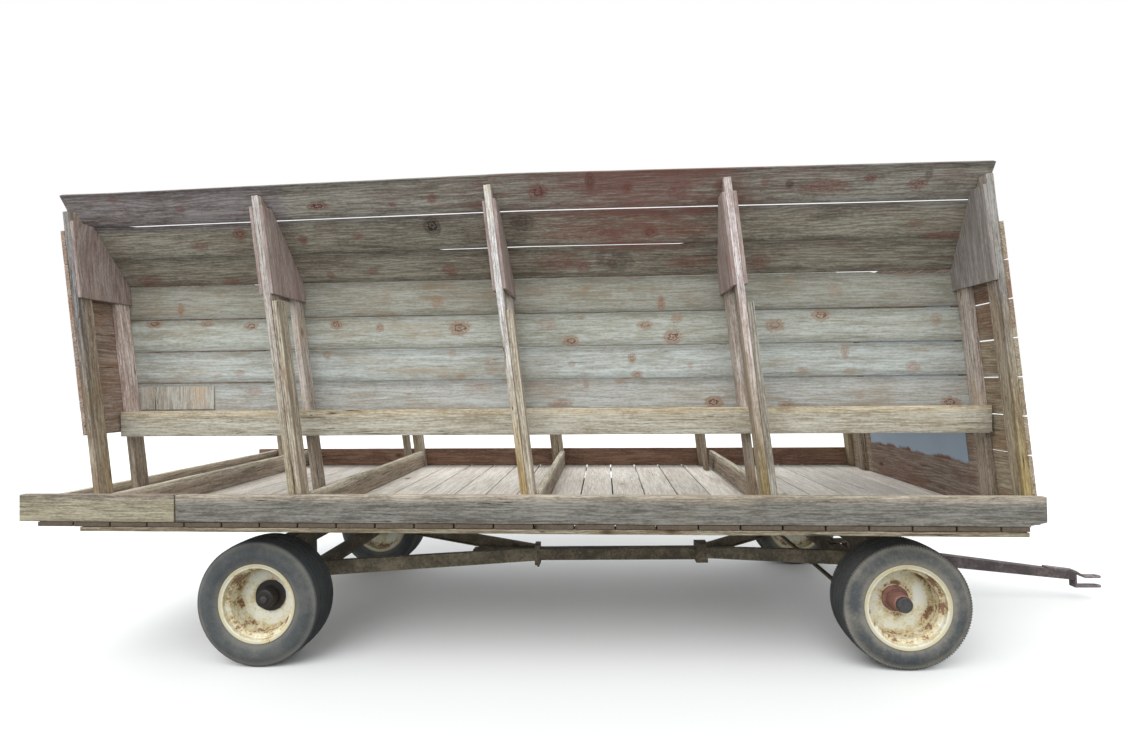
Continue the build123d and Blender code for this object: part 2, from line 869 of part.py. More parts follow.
def hitch_straps():
    """The clevis: an upper strap bent down over the tongue's end and a dropped lower strap."""
    y = (-strap_half_width, strap_half_width)
    middle = hinge_z - (strap_rear - hinge_x) * tongue_slope
    share = (strap_rear - hinge_x) / (tongue_end_x - hinge_x)
    belly = tongue_belly_depth - tongue_end_depth
    depth = tongue_end_depth + belly * (1 - share) / (1 - tongue_belly_at)
    start_z = middle + depth / 2
    end_z = tongue_end_z + tongue_end_depth / 2
    bend_x = tongue_end_x + (end_z - upper_strap_z) * 1.6
    upper = prism_along_y(
        [
            (strap_rear, start_z),
            (tongue_end_x, end_z),
            (bend_x, upper_strap_z),
            (strap_tip, upper_strap_z),
            (strap_tip, upper_strap_z + strap_thickness),
            (bend_x + 4, upper_strap_z + strap_thickness),
            (tongue_end_x + 6, end_z + strap_thickness),
            (strap_rear, start_z + strap_thickness),
        ],
        y,
    )
    lower = block((tongue_end_x, strap_tip), y, (lower_strap_z, lower_strap_z + strap_thickness))
    plate_x = (tongue_end_x, tongue_end_x + drop_plate_thickness)
    plate = block(plate_x, y, (lower_strap_z, end_z - strap_thickness))
    straps = []
    for strap in (upper, lower + plate):
        nose = block((hitch_pin_x, strap_tip + 1), y, (0, far_reach))
        round_nose = post_pin(hitch_pin_x, 0, (0, far_reach), strap_half_width)
        tip = strap & nose & round_nose
        long_nose = block((hitch_pin_x, strap_tip - strap_half_width), y, (0, far_reach)) & strap
        shifted = Pos(strap_tip - strap_half_width - hitch_pin_x, 0, 0) * round_nose
        tip = tip + long_nose + (strap & nose & shifted)
        strap = (strap - nose) + tip
        strap -= post_pin(hitch_pin_x, 0, (0, far_reach), hitch_pin_radius)
        straps.append(strap)
    return straps


def hound_arm(axle_x, axle_y, axle_z, apex_x, apex_z, axle_depth, apex_depth):
    """A channel arm of the far side from the top of an axle to the reach."""
    toward = 1 if apex_x > axle_x else -1
    past = toward * beam_size / 2
    apex_y = hound_width
    slope_y = (apex_y - axle_y) / (apex_x - axle_x)
    slope_z = (apex_z - axle_z) / (apex_x - axle_x)
    start_x = axle_x - past
    # columns: x, y, middle z, depth
    ends = (
        (start_x, axle_y - past * slope_y, axle_z - past * slope_z, axle_depth),
        (apex_x, apex_y, apex_z, apex_depth),
    )
    sections = []
    hollows = []
    for x, y, z, depth in ends:
        place = Plane(origin=(x, y, z), x_dir=(0, 1, 0), z_dir=(1, 0, 0))
        sections.append(place * Rectangle(hound_width, depth))
        inner = Pos(-hound_wall, 0) * Rectangle(hound_width, depth - 2 * hound_wall)
        hollows.append(place * inner)
    return loft(sections) - loft(hollows)


def rear_hounds():
    """The V of channel arms from the rear axle to the reach collar."""
    seat = block(
        (rear_axle_x - beam_size, rear_axle_x + beam_size),
        (0, deck_half_width),
        (0, rear_beam_top),
    )
    collar = block(
        (collar_x - far_reach, collar_x + far_reach),
        (-far_reach, reach_size / 2 + collar_wall),
        (0, far_reach),
    )
    arm = hound_arm(
        rear_axle_x,
        hound_rear_axle_y,
        rear_beam_top + hound_rear_depth_axle / 2,
        collar_x,
        reach_centre_z + 6,
        hound_rear_depth_axle,
        hound_rear_depth_apex,
    )
    return far_and_near(arm - seat - collar)


def front_hounds():
    """The V of channel arms from the front axle to the reach clamp."""
    seat = block(
        (front_axle_x - beam_size, front_axle_x + beam_size),
        (0, deck_half_width),
        (0, front_beam_top),
    )
    clamp = block(
        (clamp_x - far_reach, clamp_x + far_reach),
        (-far_reach, reach_size / 2 + collar_wall),
        (0, far_reach),
    )
    arm = hound_arm(
        front_axle_x,
        hound_front_axle_y,
        front_beam_top + hound_front_depth_axle / 2,
        clamp_x + clamp_length / 2,
        reach_centre_z + 12,
        hound_front_depth_axle,
        hound_front_depth_apex,
    )
    return far_and_near(arm - seat - clamp)


def reach_pole():
    """The square tube that joins the front and rear gear."""
    half = reach_size / 2
    x = (reach_rear, clamp_x + clamp_length / 2)
    z = (reach_centre_z - half, reach_centre_z + half)
    tube = block(x, (-half, half), z)
    inner = half - reach_wall
    bore = block(
        (x[0] - 1, x[1] + 1),
        (-inner, inner),
        (reach_centre_z - inner, reach_centre_z + inner),
    )
    tube -= bore
    pin_hole = (reach_centre_z - collar_height, reach_centre_z + collar_height)
    tube -= post_pin(collar_x, 0, pin_hole, reach_pin_radius + running_clearance)
    return [tube]


def reach_collar():
    """The collar at the rear hounds' apex, with the pin that holds the reach."""
    half = reach_size / 2 + seat_clearance
    outer = reach_size / 2 + collar_wall
    bottom = reach_centre_z - collar_height / 2
    x = (collar_x - collar_length / 2, collar_x + collar_length / 2)
    collar = block(x, (-outer, outer), (bottom, bottom + collar_height))
    window = block(
        (x[0] - 1, x[1] + 1), (-half, half), (reach_centre_z - half, reach_centre_z + half)
    )
    collar -= window
    collar += post_pin(
        collar_x, 0, (bottom - reach_pin_drop, bottom + collar_height + 8), reach_pin_radius
    )
    return [collar]


def reach_clamp():
    """The casting at the front hounds' apex that holds the reach's front end."""
    half = reach_size / 2 + seat_clearance
    outer = reach_size / 2 + collar_wall
    bottom = reach_centre_z - clamp_height / 2 + 8
    x = (clamp_x - clamp_length / 2, clamp_x + clamp_length / 2 + clamp_end_wall)
    clamp = block(x, (-outer, outer), (bottom, bottom + clamp_height))
    socket = block(
        (x[0] - 1, x[1] - clamp_end_wall + seat_clearance),
        (-half, half),
        (reach_centre_z - half, reach_centre_z + half),
    )
    return [clamp - socket]


def bolster(axle_x, beam_top, bolster_top):
    """A hollow steel bolster on two standards over an axle."""
    half = bolster_size_x / 2
    inner = half - bolster_wall
    bottom = bolster_top - bolster_depth
    y = (-bolster_half_length, bolster_half_length)
    beam = block((axle_x - half, axle_x + half), y, (bottom, bolster_top))
    beam -= block(
        (axle_x - inner, axle_x + inner), (y[0] - 1, y[1] + 1), (bottom - 1, bolster_top - bolster_wall)
    )
    for side in (-1, 1):
        y = side * standard_y
        standard = block(
            (axle_x - inner, axle_x + inner),
            (y - standard_width / 2, y + standard_width / 2),
            (beam_top, bolster_top - bolster_wall),
        )
        beam += standard
    return [beam]


def bolster_blocks():
    """Wooden wedges that take up the deck's pitch between the bolsters and the sills."""
    blocks = []
    # columns: axle x, bolster top
    rows = ((rear_axle_x, bolster_top_rear), (front_axle_x, bolster_top_front))
    drop = (deck_board_thickness + sill_depth) / cos(radians(deck_pitch))
    y = (sill_centre_y - sill_width / 2, sill_centre_y + sill_width / 2)
    for axle_x, top in rows:
        half = bolster_size_x / 2
        outline = [
            (axle_x - half, top),
            (axle_x + half, top),
            (axle_x + half, deck_height - (axle_x + half) * deck_slope - drop),
            (axle_x - half, deck_height - (axle_x - half) * deck_slope - drop),
        ]
        blocks += far_and_near(prism_along_y(outline, y))
    return blocks


def mirrored(pieces):
    """The near-side copies of far-side pieces."""
    return [mirror(piece, about=Plane.XZ) for piece in pieces]


far_wall = wall_boards()
far_flare = flare_boards()

# Pieces in the deck frame
deck_nodes = {
    "deck_boards": deck_boards(),
    "edge_strips": edge_strips(),
    "deck_sills": deck_sills(),
    "curb_near": side_curb(-1),
    "curb_far": side_curb(1),
    "curb_rear": rear_curb(),
    "divider_planks": divider_planks(),
    "outer_posts": outer_posts(),
    "inner_posts": inner_posts(),
    "sister_boards": sister_boards(),
    "gussets": gussets(),
    "feed_rails": feed_rails(),
    "wall_boards_near": mirrored(far_wall),
    "wall_boards_far": far_wall,
    "flare_boards_near": mirrored(far_flare),
    "flare_boards_far": far_flare,
    "rear_end_wall": rear_end_wall(),
    "front_end_wall": front_end_wall(),
    "metal_sheet": metal_sheet(),
    "plywood_patch": plywood_patch(),
}

# Pieces in the ground frame
gear_nodes = {
    "bolster_blocks": bolster_blocks(),
    "bolster_rear": bolster(rear_axle_x, rear_beam_top, bolster_top_rear),
    "bolster_front": bolster(front_axle_x, front_beam_top, bolster_top_front),
    "rear_axle": rear_axle(),
    "front_axle": front_axle(),
    "rear_hounds": rear_hounds(),
    "front_hounds": front_hounds(),
    "reach_pole": reach_pole(),
    "reach_collar": reach_collar(),
    "reach_clamp": reach_clamp(),
    "steering_bell": steering_bell(),
    "tie_rod": tie_rod(),
    "knuckle_near": knuckle(-1),
    "knuckle_far": knuckle(1),
    "tongue": tongue(),
    "hitch_straps": hitch_straps(),
}

# Wheels: columns are name, side, axle x, tyre radius, hub radius, cap setback
wheels = (
    ("rear_near", -1, rear_axle_x, rear_tyre_radius, hub_radius_rear, hub_cap_setback_rear),
    ("rear_far", 1, rear_axle_x, rear_tyre_radius, hub_radius_rear, hub_cap_setback_rear),
    ("front_near", -1, front_axle_x, front_tyre_radius, hub_radius_front, hub_cap_setback_front),
    ("front_far", 1, front_axle_x, front_tyre_radius, hub_radius_front, hub_cap_setback_front),
)
for name, side, axle_x, radius, hub_radius, setback in wheels:
    gear_nodes["tyre_" + name] = [tyre(radius, side, axle_x)]
    gear_nodes["rim_" + name] = [rim(side, axle_x, radius)]
    gear_nodes["hub_" + name] = [hub(side, axle_x, radius, hub_radius, setback)]

# The deck's pieces go onto the running gear, and everything is centred along its length
nodes = {}
for name, pieces in deck_nodes.items():
    nodes[name] = Compound([deck_place * piece.solids()[0] for piece in pieces])
for name, pieces in gear_nodes.items():
    nodes[name] = Compound([piece.solids()[0] for piece in pieces])
overall = Compound(list(nodes.values())).bounding_box()
centring = Pos(-overall.center().X, -overall.center().Y, -overall.min.Z)

os.makedirs("parts", exist_ok=True)
for name, shape in nodes.items():
    export_step(centring * shape, os.path.join("parts", name + ".step"))

places = {
    "rear wheels": (rear_axle_x, wheel_centre_y, rear_tyre_radius),
    "front wheels": (front_axle_x, wheel_centre_y, front_tyre_radius),
    "kingpins": (front_axle_x, kingpin_y, front_beam_bottom),
    "bell pin": (front_axle_x, 0, front_beam_bottom),
    "rod pins": (arm_x, kingpin_y, rod_bottom),
    "tongue hinge": (hinge_x, 0, hinge_z),
    "hitch pin": (hitch_pin_x, 0, (lower_strap_z + upper_strap_z + strap_thickness) / 2),
}
print("overall", [round(v, 2) for v in overall.size], "deck pitch", round(deck_pitch, 4))
for name, (x, y, z) in places.items():
    moved = (centring * Pos(x, y, z)).position
    print(name, [round(v, 3) for v in moved])
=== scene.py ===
from math import cos, pi, radians, sin, tan, tau

import bmesh
import bpy
from bpy.props import FloatProperty, FloatVectorProperty, IntProperty, PointerProperty
from mathutils import Matrix, Vector, noise


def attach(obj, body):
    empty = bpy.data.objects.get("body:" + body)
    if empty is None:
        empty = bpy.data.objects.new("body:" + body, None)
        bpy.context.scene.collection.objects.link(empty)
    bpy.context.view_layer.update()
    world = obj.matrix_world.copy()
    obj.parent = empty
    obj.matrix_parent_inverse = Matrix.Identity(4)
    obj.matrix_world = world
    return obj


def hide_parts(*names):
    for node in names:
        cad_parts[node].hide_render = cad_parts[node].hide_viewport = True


bl_info = {
    "name": "Feeder Wagon Looks",
    "version": (1, 0, 0),
    "blender": (4, 5, 0),
    "location": "3D View > Sidebar > Wagon",
    "description": "Weathered timber, rusty running gear and worn wheels for a feeder wagon",
    "category": "Object",
}

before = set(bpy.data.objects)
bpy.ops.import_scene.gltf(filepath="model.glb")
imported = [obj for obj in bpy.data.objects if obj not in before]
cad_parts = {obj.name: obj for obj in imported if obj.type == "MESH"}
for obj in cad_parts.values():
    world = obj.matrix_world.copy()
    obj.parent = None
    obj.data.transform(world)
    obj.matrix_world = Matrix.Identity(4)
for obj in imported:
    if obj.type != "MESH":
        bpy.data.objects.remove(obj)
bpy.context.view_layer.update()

# The deck frame: X forward along the deck, Y to the far side, Z up from the deck's top
deck_pitch = radians(0.822)
deck_centre = (0.000334, 0, 0.80142)
deck_frame = Matrix.Translation(deck_centre) @ Matrix.Rotation(deck_pitch, 4, "Y")
to_deck = deck_frame.inverted()

# A station is a row of four raked posts across the deck
station_places = (-2.834, -1.728, -0.469, 0.778, 2.062)
station_rake = radians(6.0)
# How the old frames have settled; columns: x on the deck, how far forward, rake in degrees
settling_table = (
    (-3.125, 0.0, 6.7), (-2.900, 0.012, 6.7), (-2.834, 0.012, 6.7), (-1.728, 0.010, 7.1),
    (-0.469, 0.006, 6.5), (0.778, 0.002, 6.2), (2.062, -0.014, 5.6), (2.500, -0.014, 5.6),
)

# The flared sides' direction up their slope, and how far along it they start
flare_out, flare_up = 0.5397, 0.8419
flare_start = 1.499
# columns: a row's upper edge up the slope at the rear, the middle and the front station
flare_edges = ((0.167, 0.191, 0.181), (0.362, 0.390, 0.380), (0.558, 0.593, 0.575))
flare_gaps = (0.006, 0.009)
flare_foot_gap = 0.003
flare_middle, flare_rear_reach, flare_front_reach = -0.46, 2.36, 2.51
flare_joint = -0.56

forward, sideways, upward = Vector((1, 0, 0)), Vector((0, 1, 0)), Vector((0, 0, 1))
raked_up = Vector((-sin(station_rake), 0, cos(station_rake)))
raked_through = Vector((cos(station_rake), 0, sin(station_rake)))
# How each kind of board lies in the deck frame: along its grain, across it, through it
board_axes = {
    "lengthwise": (forward, upward, sideways),
    "upright": (upward, forward, sideways),
    "deck": (sideways, forward, upward),
    "across": (sideways, upward, forward),
    "post": (raked_up, sideways, raked_through),
    "end_wall": (sideways, raked_up, raked_through),
    "flare_near": (forward, Vector((0, -flare_out, flare_up)), Vector((0, flare_up, flare_out))),
    "flare_far": (forward, Vector((0, flare_out, flare_up)), Vector((0, -flare_up, flare_out))),
}

photo_size = (1141, 756)
sensor_width = 36.0
# Where the near wall and flare boards' planes meet, in the deck frame
wall_head = Vector((0, -0.695, 1.335))
# Knots and stains read off the photo, in its pixels
# columns: across, down, half width, half height, strength
wall_knots = (
    (155, 324, 8, 4, 0.9), (207, 324, 7, 3, 0.8), (251, 326, 7, 4, 0.9), (181, 310, 3, 6, 0.8),
    (240, 373, 5, 3, 0.6), (218, 376, 5, 2, 0.5), (253, 390, 8, 5, 0.4), (336.5, 324.5, 6, 5, 0.9),
    (380, 328, 4, 4, 0.8), (459.7, 328, 10, 7, 0.9), (437, 302, 6, 6, 0.6), (327, 355, 4, 4, 0.7),
    (452.7, 354, 4, 4, 0.5), (461, 377, 5, 3, 0.6), (409, 394, 3, 1.5, 0.6), (492, 363, 8, 8, 0.4),
    (477, 387, 15, 5, 0.35), (586, 289, 4, 3, 0.7), (631, 289, 3, 2, 0.6), (661, 303, 4, 7, 0.8),
    (645, 325, 8, 4, 0.8), (677, 318, 6, 5, 0.7), (673, 337, 9, 7, 0.95), (571, 341, 8, 5, 0.9),
    (582, 318, 3, 2, 0.5), (632, 358, 4, 5, 0.8), (690, 365, 3, 3, 0.5), (572, 364, 4, 3, 0.6),
    (637, 375, 6, 4, 0.8), (620, 381, 5, 2.5, 0.6), (586, 384, 3, 3, 0.6), (714, 402, 9, 6, 1),
    (560, 404, 12, 4, 0.7), (546, 325, 10, 7, 0.4), (821, 315, 9, 6, 0.9), (775, 325, 9, 7, 0.8),
    (936, 319, 6, 6, 0.5), (845, 350, 4, 8, 0.6), (913, 367, 7, 6, 0.6), (850, 372, 6, 4, 0.5),
    (802, 370, 6, 4, 0.5), (786, 404, 8, 3, 0.8), (860, 396, 4, 3, 0.4), (950, 402, 10, 5, 0.9),
    (835, 290, 7, 7, 0.4), (790, 280, 5, 4, 0.4),
)
red_marks = (
    (590, 181, 5, 8, 0.5), (538, 192, 10, 8, 0.9), (627, 187, 5, 6, 0.9), (680, 190, 12, 9, 0.7),
    (719, 185, 4, 10, 0.6), (765, 183, 4, 3, 0.7), (825, 186, 24, 6, 0.7), (870, 178, 6, 4, 0.8),
    (918, 184, 10, 5, 0.8), (317, 206, 10, 4, 0.9), (432, 199, 5, 5, 0.8), (392, 205, 4, 2, 0.8),
    (112, 200, 4, 4, 0.6), (180, 209, 5, 3, 0.7), (650, 232, 8, 6, 0.9), (600, 233, 60, 7, 0.65),
    (690, 231, 26, 6, 0.7), (240, 234, 7, 5, 0.9), (303, 240, 5, 4, 0.8), (357, 236, 6, 3, 0.7),
    (945, 235, 22, 4, 0.7), (915, 222, 8, 3, 0.5), (200, 246, 8, 6, 0.5), (560, 262, 24, 9, 0.6),
    (583, 266, 8, 6, 0.7), (690, 262, 24, 6, 0.6), (758, 262, 12, 8, 0.6), (451, 270, 8, 5, 0.7),
    (373, 272, 5, 3, 0.7), (331, 275, 4, 3, 0.7), (150, 281, 12, 5, 0.6), (230, 281, 9, 4, 0.5),
)
dark_marks = (
    (590, 181, 5, 9, 0.8), (432, 226, 8, 10, 0.9), (522, 222, 12, 8, 0.7), (620, 262, 13, 9, 0.6),
    (665, 214, 5, 4, 0.6), (790, 184, 4, 4, 0.8), (929, 174, 4, 6, 0.6), (830, 216, 22, 5, 0.45),
    (795, 266, 7, 4, 0.4), (601, 258, 5, 6, 0.5),
)

# The hubs' places on the far side: forward, outwards and up
hub_places = {"rear": (-1.976666, 0.845, 0.349784), "front": (1.508334, 0.845, 0.329784)}
# columns: axle, name of the side, its sign
wheel_table = tuple((axle, name, side) for axle in hub_places for name, side in (("near", -1), ("far", 1)))
tyre_clearance = 0.0002


def station_at(point):
    """The number of the station whose raked line passes nearest to a point of the deck frame."""
    foot = point.x + point.z * tan(station_rake)
    return min(range(len(station_places)), key=lambda number: abs(station_places[number] - foot))


def settled(point):
    """Where a point of the hopper, in the deck frame, lies now that its frames have settled."""
    x = point.x + point.z * tan(station_rake)
    number = max(1, min(len(settling_table) - 1, sum(row[0] < x for row in settling_table)))
    before, after = settling_table[number - 1], settling_table[number]
    share = max(0.0, min(1.0, (x - before[0]) / (after[0] - before[0])))
    moved, rake = [a + (b - a) * share for a, b in zip(before[1:], after[1:])]
    return Vector((x + moved - point.z * tan(radians(rake)), point.y, point.z))


class WagonTimberSettings(bpy.types.PropertyGroup):
    """Sizes and colours of the weathered boards."""

    edge_round: FloatProperty(
        name="Edge rounding", description="How far board edges are rounded off", default=0.003, unit="LENGTH"
    )
    edge_wear: FloatProperty(
        name="Edge wear", description="How deep edges are worn back", default=0.004, unit="LENGTH"
    )
    end_wear: FloatProperty(
        name="End wear", description="How ragged board ends are", default=0.006, unit="LENGTH"
    )
    step: FloatProperty(
        name="Step", description="Distance between cuts along a board", default=0.07, unit="LENGTH"
    )
    pale_grey: FloatVectorProperty(
        name="Pale grey", description="Bleached timber", subtype="COLOR", size=3, default=(0.50, 0.48, 0.42)
    )
    dark_grey: FloatVectorProperty(
        name="Dark grey", description="Damp, dirty timber", subtype="COLOR", size=3,
        default=(0.20, 0.165, 0.12),
    )
    barn_red: FloatVectorProperty(
        name="Barn red", description="Remains of old paint", subtype="COLOR", size=3,
        default=(0.20, 0.078, 0.062),
    )


class WagonSteelSettings(bpy.types.PropertyGroup):
    """Sizes and colours of the rusty steel."""

    edge_round: FloatProperty(
        name="Edge rounding", description="How far steel edges are rounded off", default=0.002, unit="LENGTH"
    )
    rust_dark: FloatVectorProperty(
        name="Dark rust", description="Old rust with grease", subtype="COLOR", size=3,
        default=(0.10, 0.082, 0.058),
    )
    rust_light: FloatVectorProperty(
        name="Light rust", description="Dusty rust", subtype="COLOR", size=3, default=(0.33, 0.265, 0.175)
    )


class WagonWheelSettings(bpy.types.PropertyGroup):
    """Sizes and colours of the tyres, rims and hubs."""

    segments: IntProperty(name="Segments", description="Steps round a wheel", default=96)
    hub_segments: IntProperty(name="Hub segments", description="Steps round a hub", default=48)
    lug_count: IntProperty(name="Lugs", description="Shoulder lugs round a front tyre", default=139)
    cream: FloatVectorProperty(
        name="Cream", description="Old rim paint", subtype="COLOR", size=3, default=(0.78, 0.77, 0.60)
    )
    rubber: FloatVectorProperty(
        name="Rubber", description="Bare tyre rubber", subtype="COLOR", size=3, default=(0.062, 0.071, 0.076)
    )
    dust: FloatVectorProperty(
        name="Dust", description="Dried mud on the tyres", subtype="COLOR", size=3, default=(0.27, 0.25, 0.21)
    )


class WagonStageSettings(bpy.types.PropertyGroup):
    """Camera, floor and light."""

    camera_place: FloatVectorProperty(
        name="Camera place", description="Where the camera stands", subtype="TRANSLATION", size=3,
        default=(-0.02608, -3.89400, 1.52099),
    )
    focal_length: FloatProperty(
        name="Focal length", description="For a sensor 36 mm wide, in millimetres", default=17.41
    )
    yaw: FloatProperty(name="Yaw", description="Turn to the left", default=0.0609, subtype="ANGLE")
    pitch: FloatProperty(name="Pitch", description="Tilt upwards", default=0.0115, subtype="ANGLE")
    roll: FloatProperty(name="Roll", description="Lean of the camera", default=-0.01, subtype="ANGLE")
    floor_colour: FloatVectorProperty(
        name="Floor", description="Floor as the camera sees it", subtype="COLOR", size=3,
        default=(0.86, 0.86, 0.85),
    )
    floor_size: FloatProperty(
        name="Floor size", description="From its middle to each side", default=60.0, unit="LENGTH"
    )
    sky_strength: FloatProperty(name="Sky strength", description="Light from all round", default=1.28)
    sun_strength: FloatProperty(name="Sun strength", description="Soft light from above", default=1.45)


class Wiring:
    """Short calls that add nodes to a node tree and link them."""

    def __init__(self, tree):
        self.tree = tree

    def node(self, kind, links=None, **settings):
        """A new node with its settings, and its inputs linked or set."""
        made = self.tree.nodes.new(kind)
        for name, value in settings.items():
            setattr(made, name, value)
        for socket, value in (links or {}).items():
            self.put(made.inputs[socket], value)
        return made

    def put(self, socket, value):
        """Links an output to a socket, or sets the socket's value."""
        if isinstance(value, bpy.types.NodeSocket):
            self.tree.links.new(value, socket)
        elif value is not None:
            if socket.type == "RGBA" and len(value) == 3:
                value = (*value, 1.0)
            socket.default_value = value

    def surface(self, values):
        """Puts values into the material's shader."""
        for socket, value in values.items():
            self.put(self.tree.nodes["Principled BSDF"].inputs[socket], value)

    def math(self, operation, a, b=None, c=None, clamp=False):
        made = self.node("ShaderNodeMath", operation=operation, use_clamp=clamp)
        for socket, value in zip(made.inputs, (a, b, c)):
            self.put(socket, value)
        return made.outputs[0]

    def plus(self, a, b):
        return self.math("ADD", a, b)

    def minus(self, a, b):
        return self.math("SUBTRACT", a, b)

    def times(self, a, b):
        return self.math("MULTIPLY", a, b)

    def blend(self, a, b, share):
        """A share of the first value with the rest of the second."""
        return self.plus(self.times(a, share), self.times(b, 1.0 - share))

    def band(self, value, low, high, start=0.0, end=1.0):
        """A smooth step from start to end while the value goes from low to high."""
        made = self.node("ShaderNodeMapRange", interpolation_type="SMOOTHSTEP")
        for socket, number in zip(made.inputs, (value, low, high, start, end)):
            self.put(socket, number)
        return made.outputs[0]

    def mix(self, factor, a, b, blend="MIX"):
        """A mix of two colours."""
        made = self.node("ShaderNodeMix", data_type="RGBA", blend_type=blend)
        self.put(made.inputs[0], factor)
        self.put(made.inputs[6], a)
        self.put(made.inputs[7], b)
        return made.outputs[2]

    def vector(self, operation, a, b=None):
        made = self.node("ShaderNodeVectorMath", {0: a, 1: b}, operation=operation)
        return made.outputs["Value" if operation == "LENGTH" else "Vector"]

    def noise(self, vector, scale, detail=3.0, roughness=0.55):
        stretched = self.vector("MULTIPLY", vector, scale)
        values = {"Vector": stretched, "Scale": 1.0, "Detail": detail, "Roughness": roughness}
        return self.node("ShaderNodeTexNoise", values).outputs["Fac"]

    def attribute(self, name, output="Vector"):
        """What a mesh carries under this name at each of its points."""
        return self.node("ShaderNodeAttribute", attribute_name=name).outputs[output]

    def place(self):
        return self.node("ShaderNodeTexCoord").outputs["Object"]

    def parts(self, colour):
        return self.node("ShaderNodeSeparateColor", {0: colour}).outputs

    def bump(self, height, strength, distance):
        values = {"Height": height, "Strength": strength, "Distance": distance}
        return self.node("ShaderNodeBump", values).outputs[0]

    def shared(self, name, build, values):
        """Places a shared node group, built the first time that it is asked for."""
        tree = bpy.data.node_groups.get(name) or build(name)
        return self.node("ShaderNodeGroup", values, node_tree=tree).outputs


def new_group(name, inputs, outputs):
    """An empty shader node group with named sockets of given kinds."""
    tree = bpy.data.node_groups.new(name, "ShaderNodeTree")
    for way, sockets in (("INPUT", inputs), ("OUTPUT", outputs)):
        for socket, kind in sockets.items():
            tree.interface.new_socket(socket, in_out=way, socket_type="NodeSocket" + kind)
    wiring = Wiring(tree)
    return wiring, wiring.node("NodeGroupInput").outputs, wiring.node("NodeGroupOutput").inputs


def build_timber(name):
    """Weathered timber: growth rings, fibres, knots, stains and drying checks."""
    inputs = {
        "Grain": "Vector", "Pale": "Color", "Dark": "Color", "Stain": "Color",
        "Rings": "Float", "Knots": "Float", "Checks": "Float", "Staining": "Float",
    }
    wiring, given, result = new_group(name, inputs, {"Color": "Color", "Height": "Float"})
    grain = given["Grain"]
    ring_width = 0.0125

    stretched = wiring.vector("MULTIPLY", grain, (3.2, 6.0, 6.0))
    cells = wiring.node("ShaderNodeTexVoronoi", {"Vector": stretched, "Scale": 1.0}).outputs
    chosen = wiring.math("GREATER_THAN", wiring.parts(cells["Color"])[0], 0.70)
    present = wiring.times(chosen, given["Knots"])
    knot = wiring.times(wiring.band(cells["Distance"], 0.17, 0.03), present)
    swirl = wiring.times(wiring.band(cells["Distance"], 0.55, 0.0), present)

    parts = wiring.node("ShaderNodeSeparateXYZ", {0: grain}).outputs
    across = wiring.plus(parts[1], wiring.times(wiring.noise(grain, (1.3, 4.5, 4.5)), 0.13))
    across = wiring.plus(across, wiring.times(swirl, 0.022))
    squares = wiring.plus(wiring.math("POWER", across, 2.0), wiring.math("POWER", parts[2], 2.0))
    ring = wiring.math("FRACT", wiring.math("DIVIDE", wiring.math("SQRT", squares), ring_width))
    late = wiring.times(wiring.band(ring, 0.35, 0.85), wiring.band(ring, 1.0, 0.9))
    late = wiring.times(late, given["Rings"])

    crack = wiring.math("ABSOLUTE", wiring.minus(wiring.noise(grain, (1.0, 42.0, 42.0), 2.0), 0.5))
    where = wiring.band(wiring.noise(grain, (1.7, 9.0, 9.0), 2.0), 0.52, 0.62)
    check = wiring.times(wiring.times(wiring.band(crack, 0.012, 0.002), where), given["Checks"])

    fibre = wiring.noise(grain, (6.5, 95.0, 95.0), 4.0, 0.72)
    streak = wiring.noise(grain, (2.2, 28.0, 28.0), 5.0, 0.68)
    blotch = wiring.noise(grain, (2.4, 7.0, 7.0), 5.0, 0.68)
    speck = wiring.noise(grain, (40.0, 120.0, 120.0), 3.0, 0.75)
    tone = wiring.plus(wiring.blend(streak, blotch, 0.55), wiring.minus(fibre, 0.5))
    tone = wiring.plus(tone, wiring.times(wiring.minus(speck, 0.5), 0.6))
    stained = wiring.band(wiring.noise(grain, (1.9, 7.0, 7.0), 5.0, 0.7), 0.5, 0.75)

    color = wiring.mix(wiring.band(tone, 0.27, 0.72), given["Dark"], given["Pale"])
    color = wiring.mix(wiring.times(stained, given["Staining"]), color, given["Stain"])
    color = wiring.mix(wiring.times(late, 0.62), color, given["Dark"])
    color = wiring.mix(wiring.times(swirl, 0.35), color, given["Stain"])
    color = wiring.mix(wiring.times(knot, 0.85), color, (0.07, 0.04, 0.025))
    color = wiring.mix(wiring.times(check, 0.9), color, (0.02, 0.015, 0.01))
    height = wiring.minus(wiring.plus(fibre, wiring.times(late, 0.35)), wiring.times(check, 1.5))
    wiring.put(result["Color"], color)
    wiring.put(result["Height"], height)
    return wiring.tree


def build_old_paint(name):
    """Flaking paint that is left in patches along the grain."""
    inputs = {"Grain": "Vector", "Under": "Color", "Paint": "Color", "Amount": "Float"}
    wiring, given, result = new_group(name, inputs, {"Color": "Color"})
    patches = wiring.noise(given["Grain"], (2.6, 13.0, 13.0), 6.0, 0.72)
    scratches = wiring.noise(given["Grain"], (9.0, 95.0, 95.0), 4.0, 0.72)
    level = wiring.blend(patches, scratches, 0.55)
    edge = wiring.minus(0.92, wiring.times(given["Amount"], 0.75))
    left = wiring.band(wiring.minus(level, edge), -0.12, 0.10, 0.0, 0.72)
    wiring.put(result["Color"], wiring.mix(left, given["Under"], given["Paint"]))
    return wiring.tree


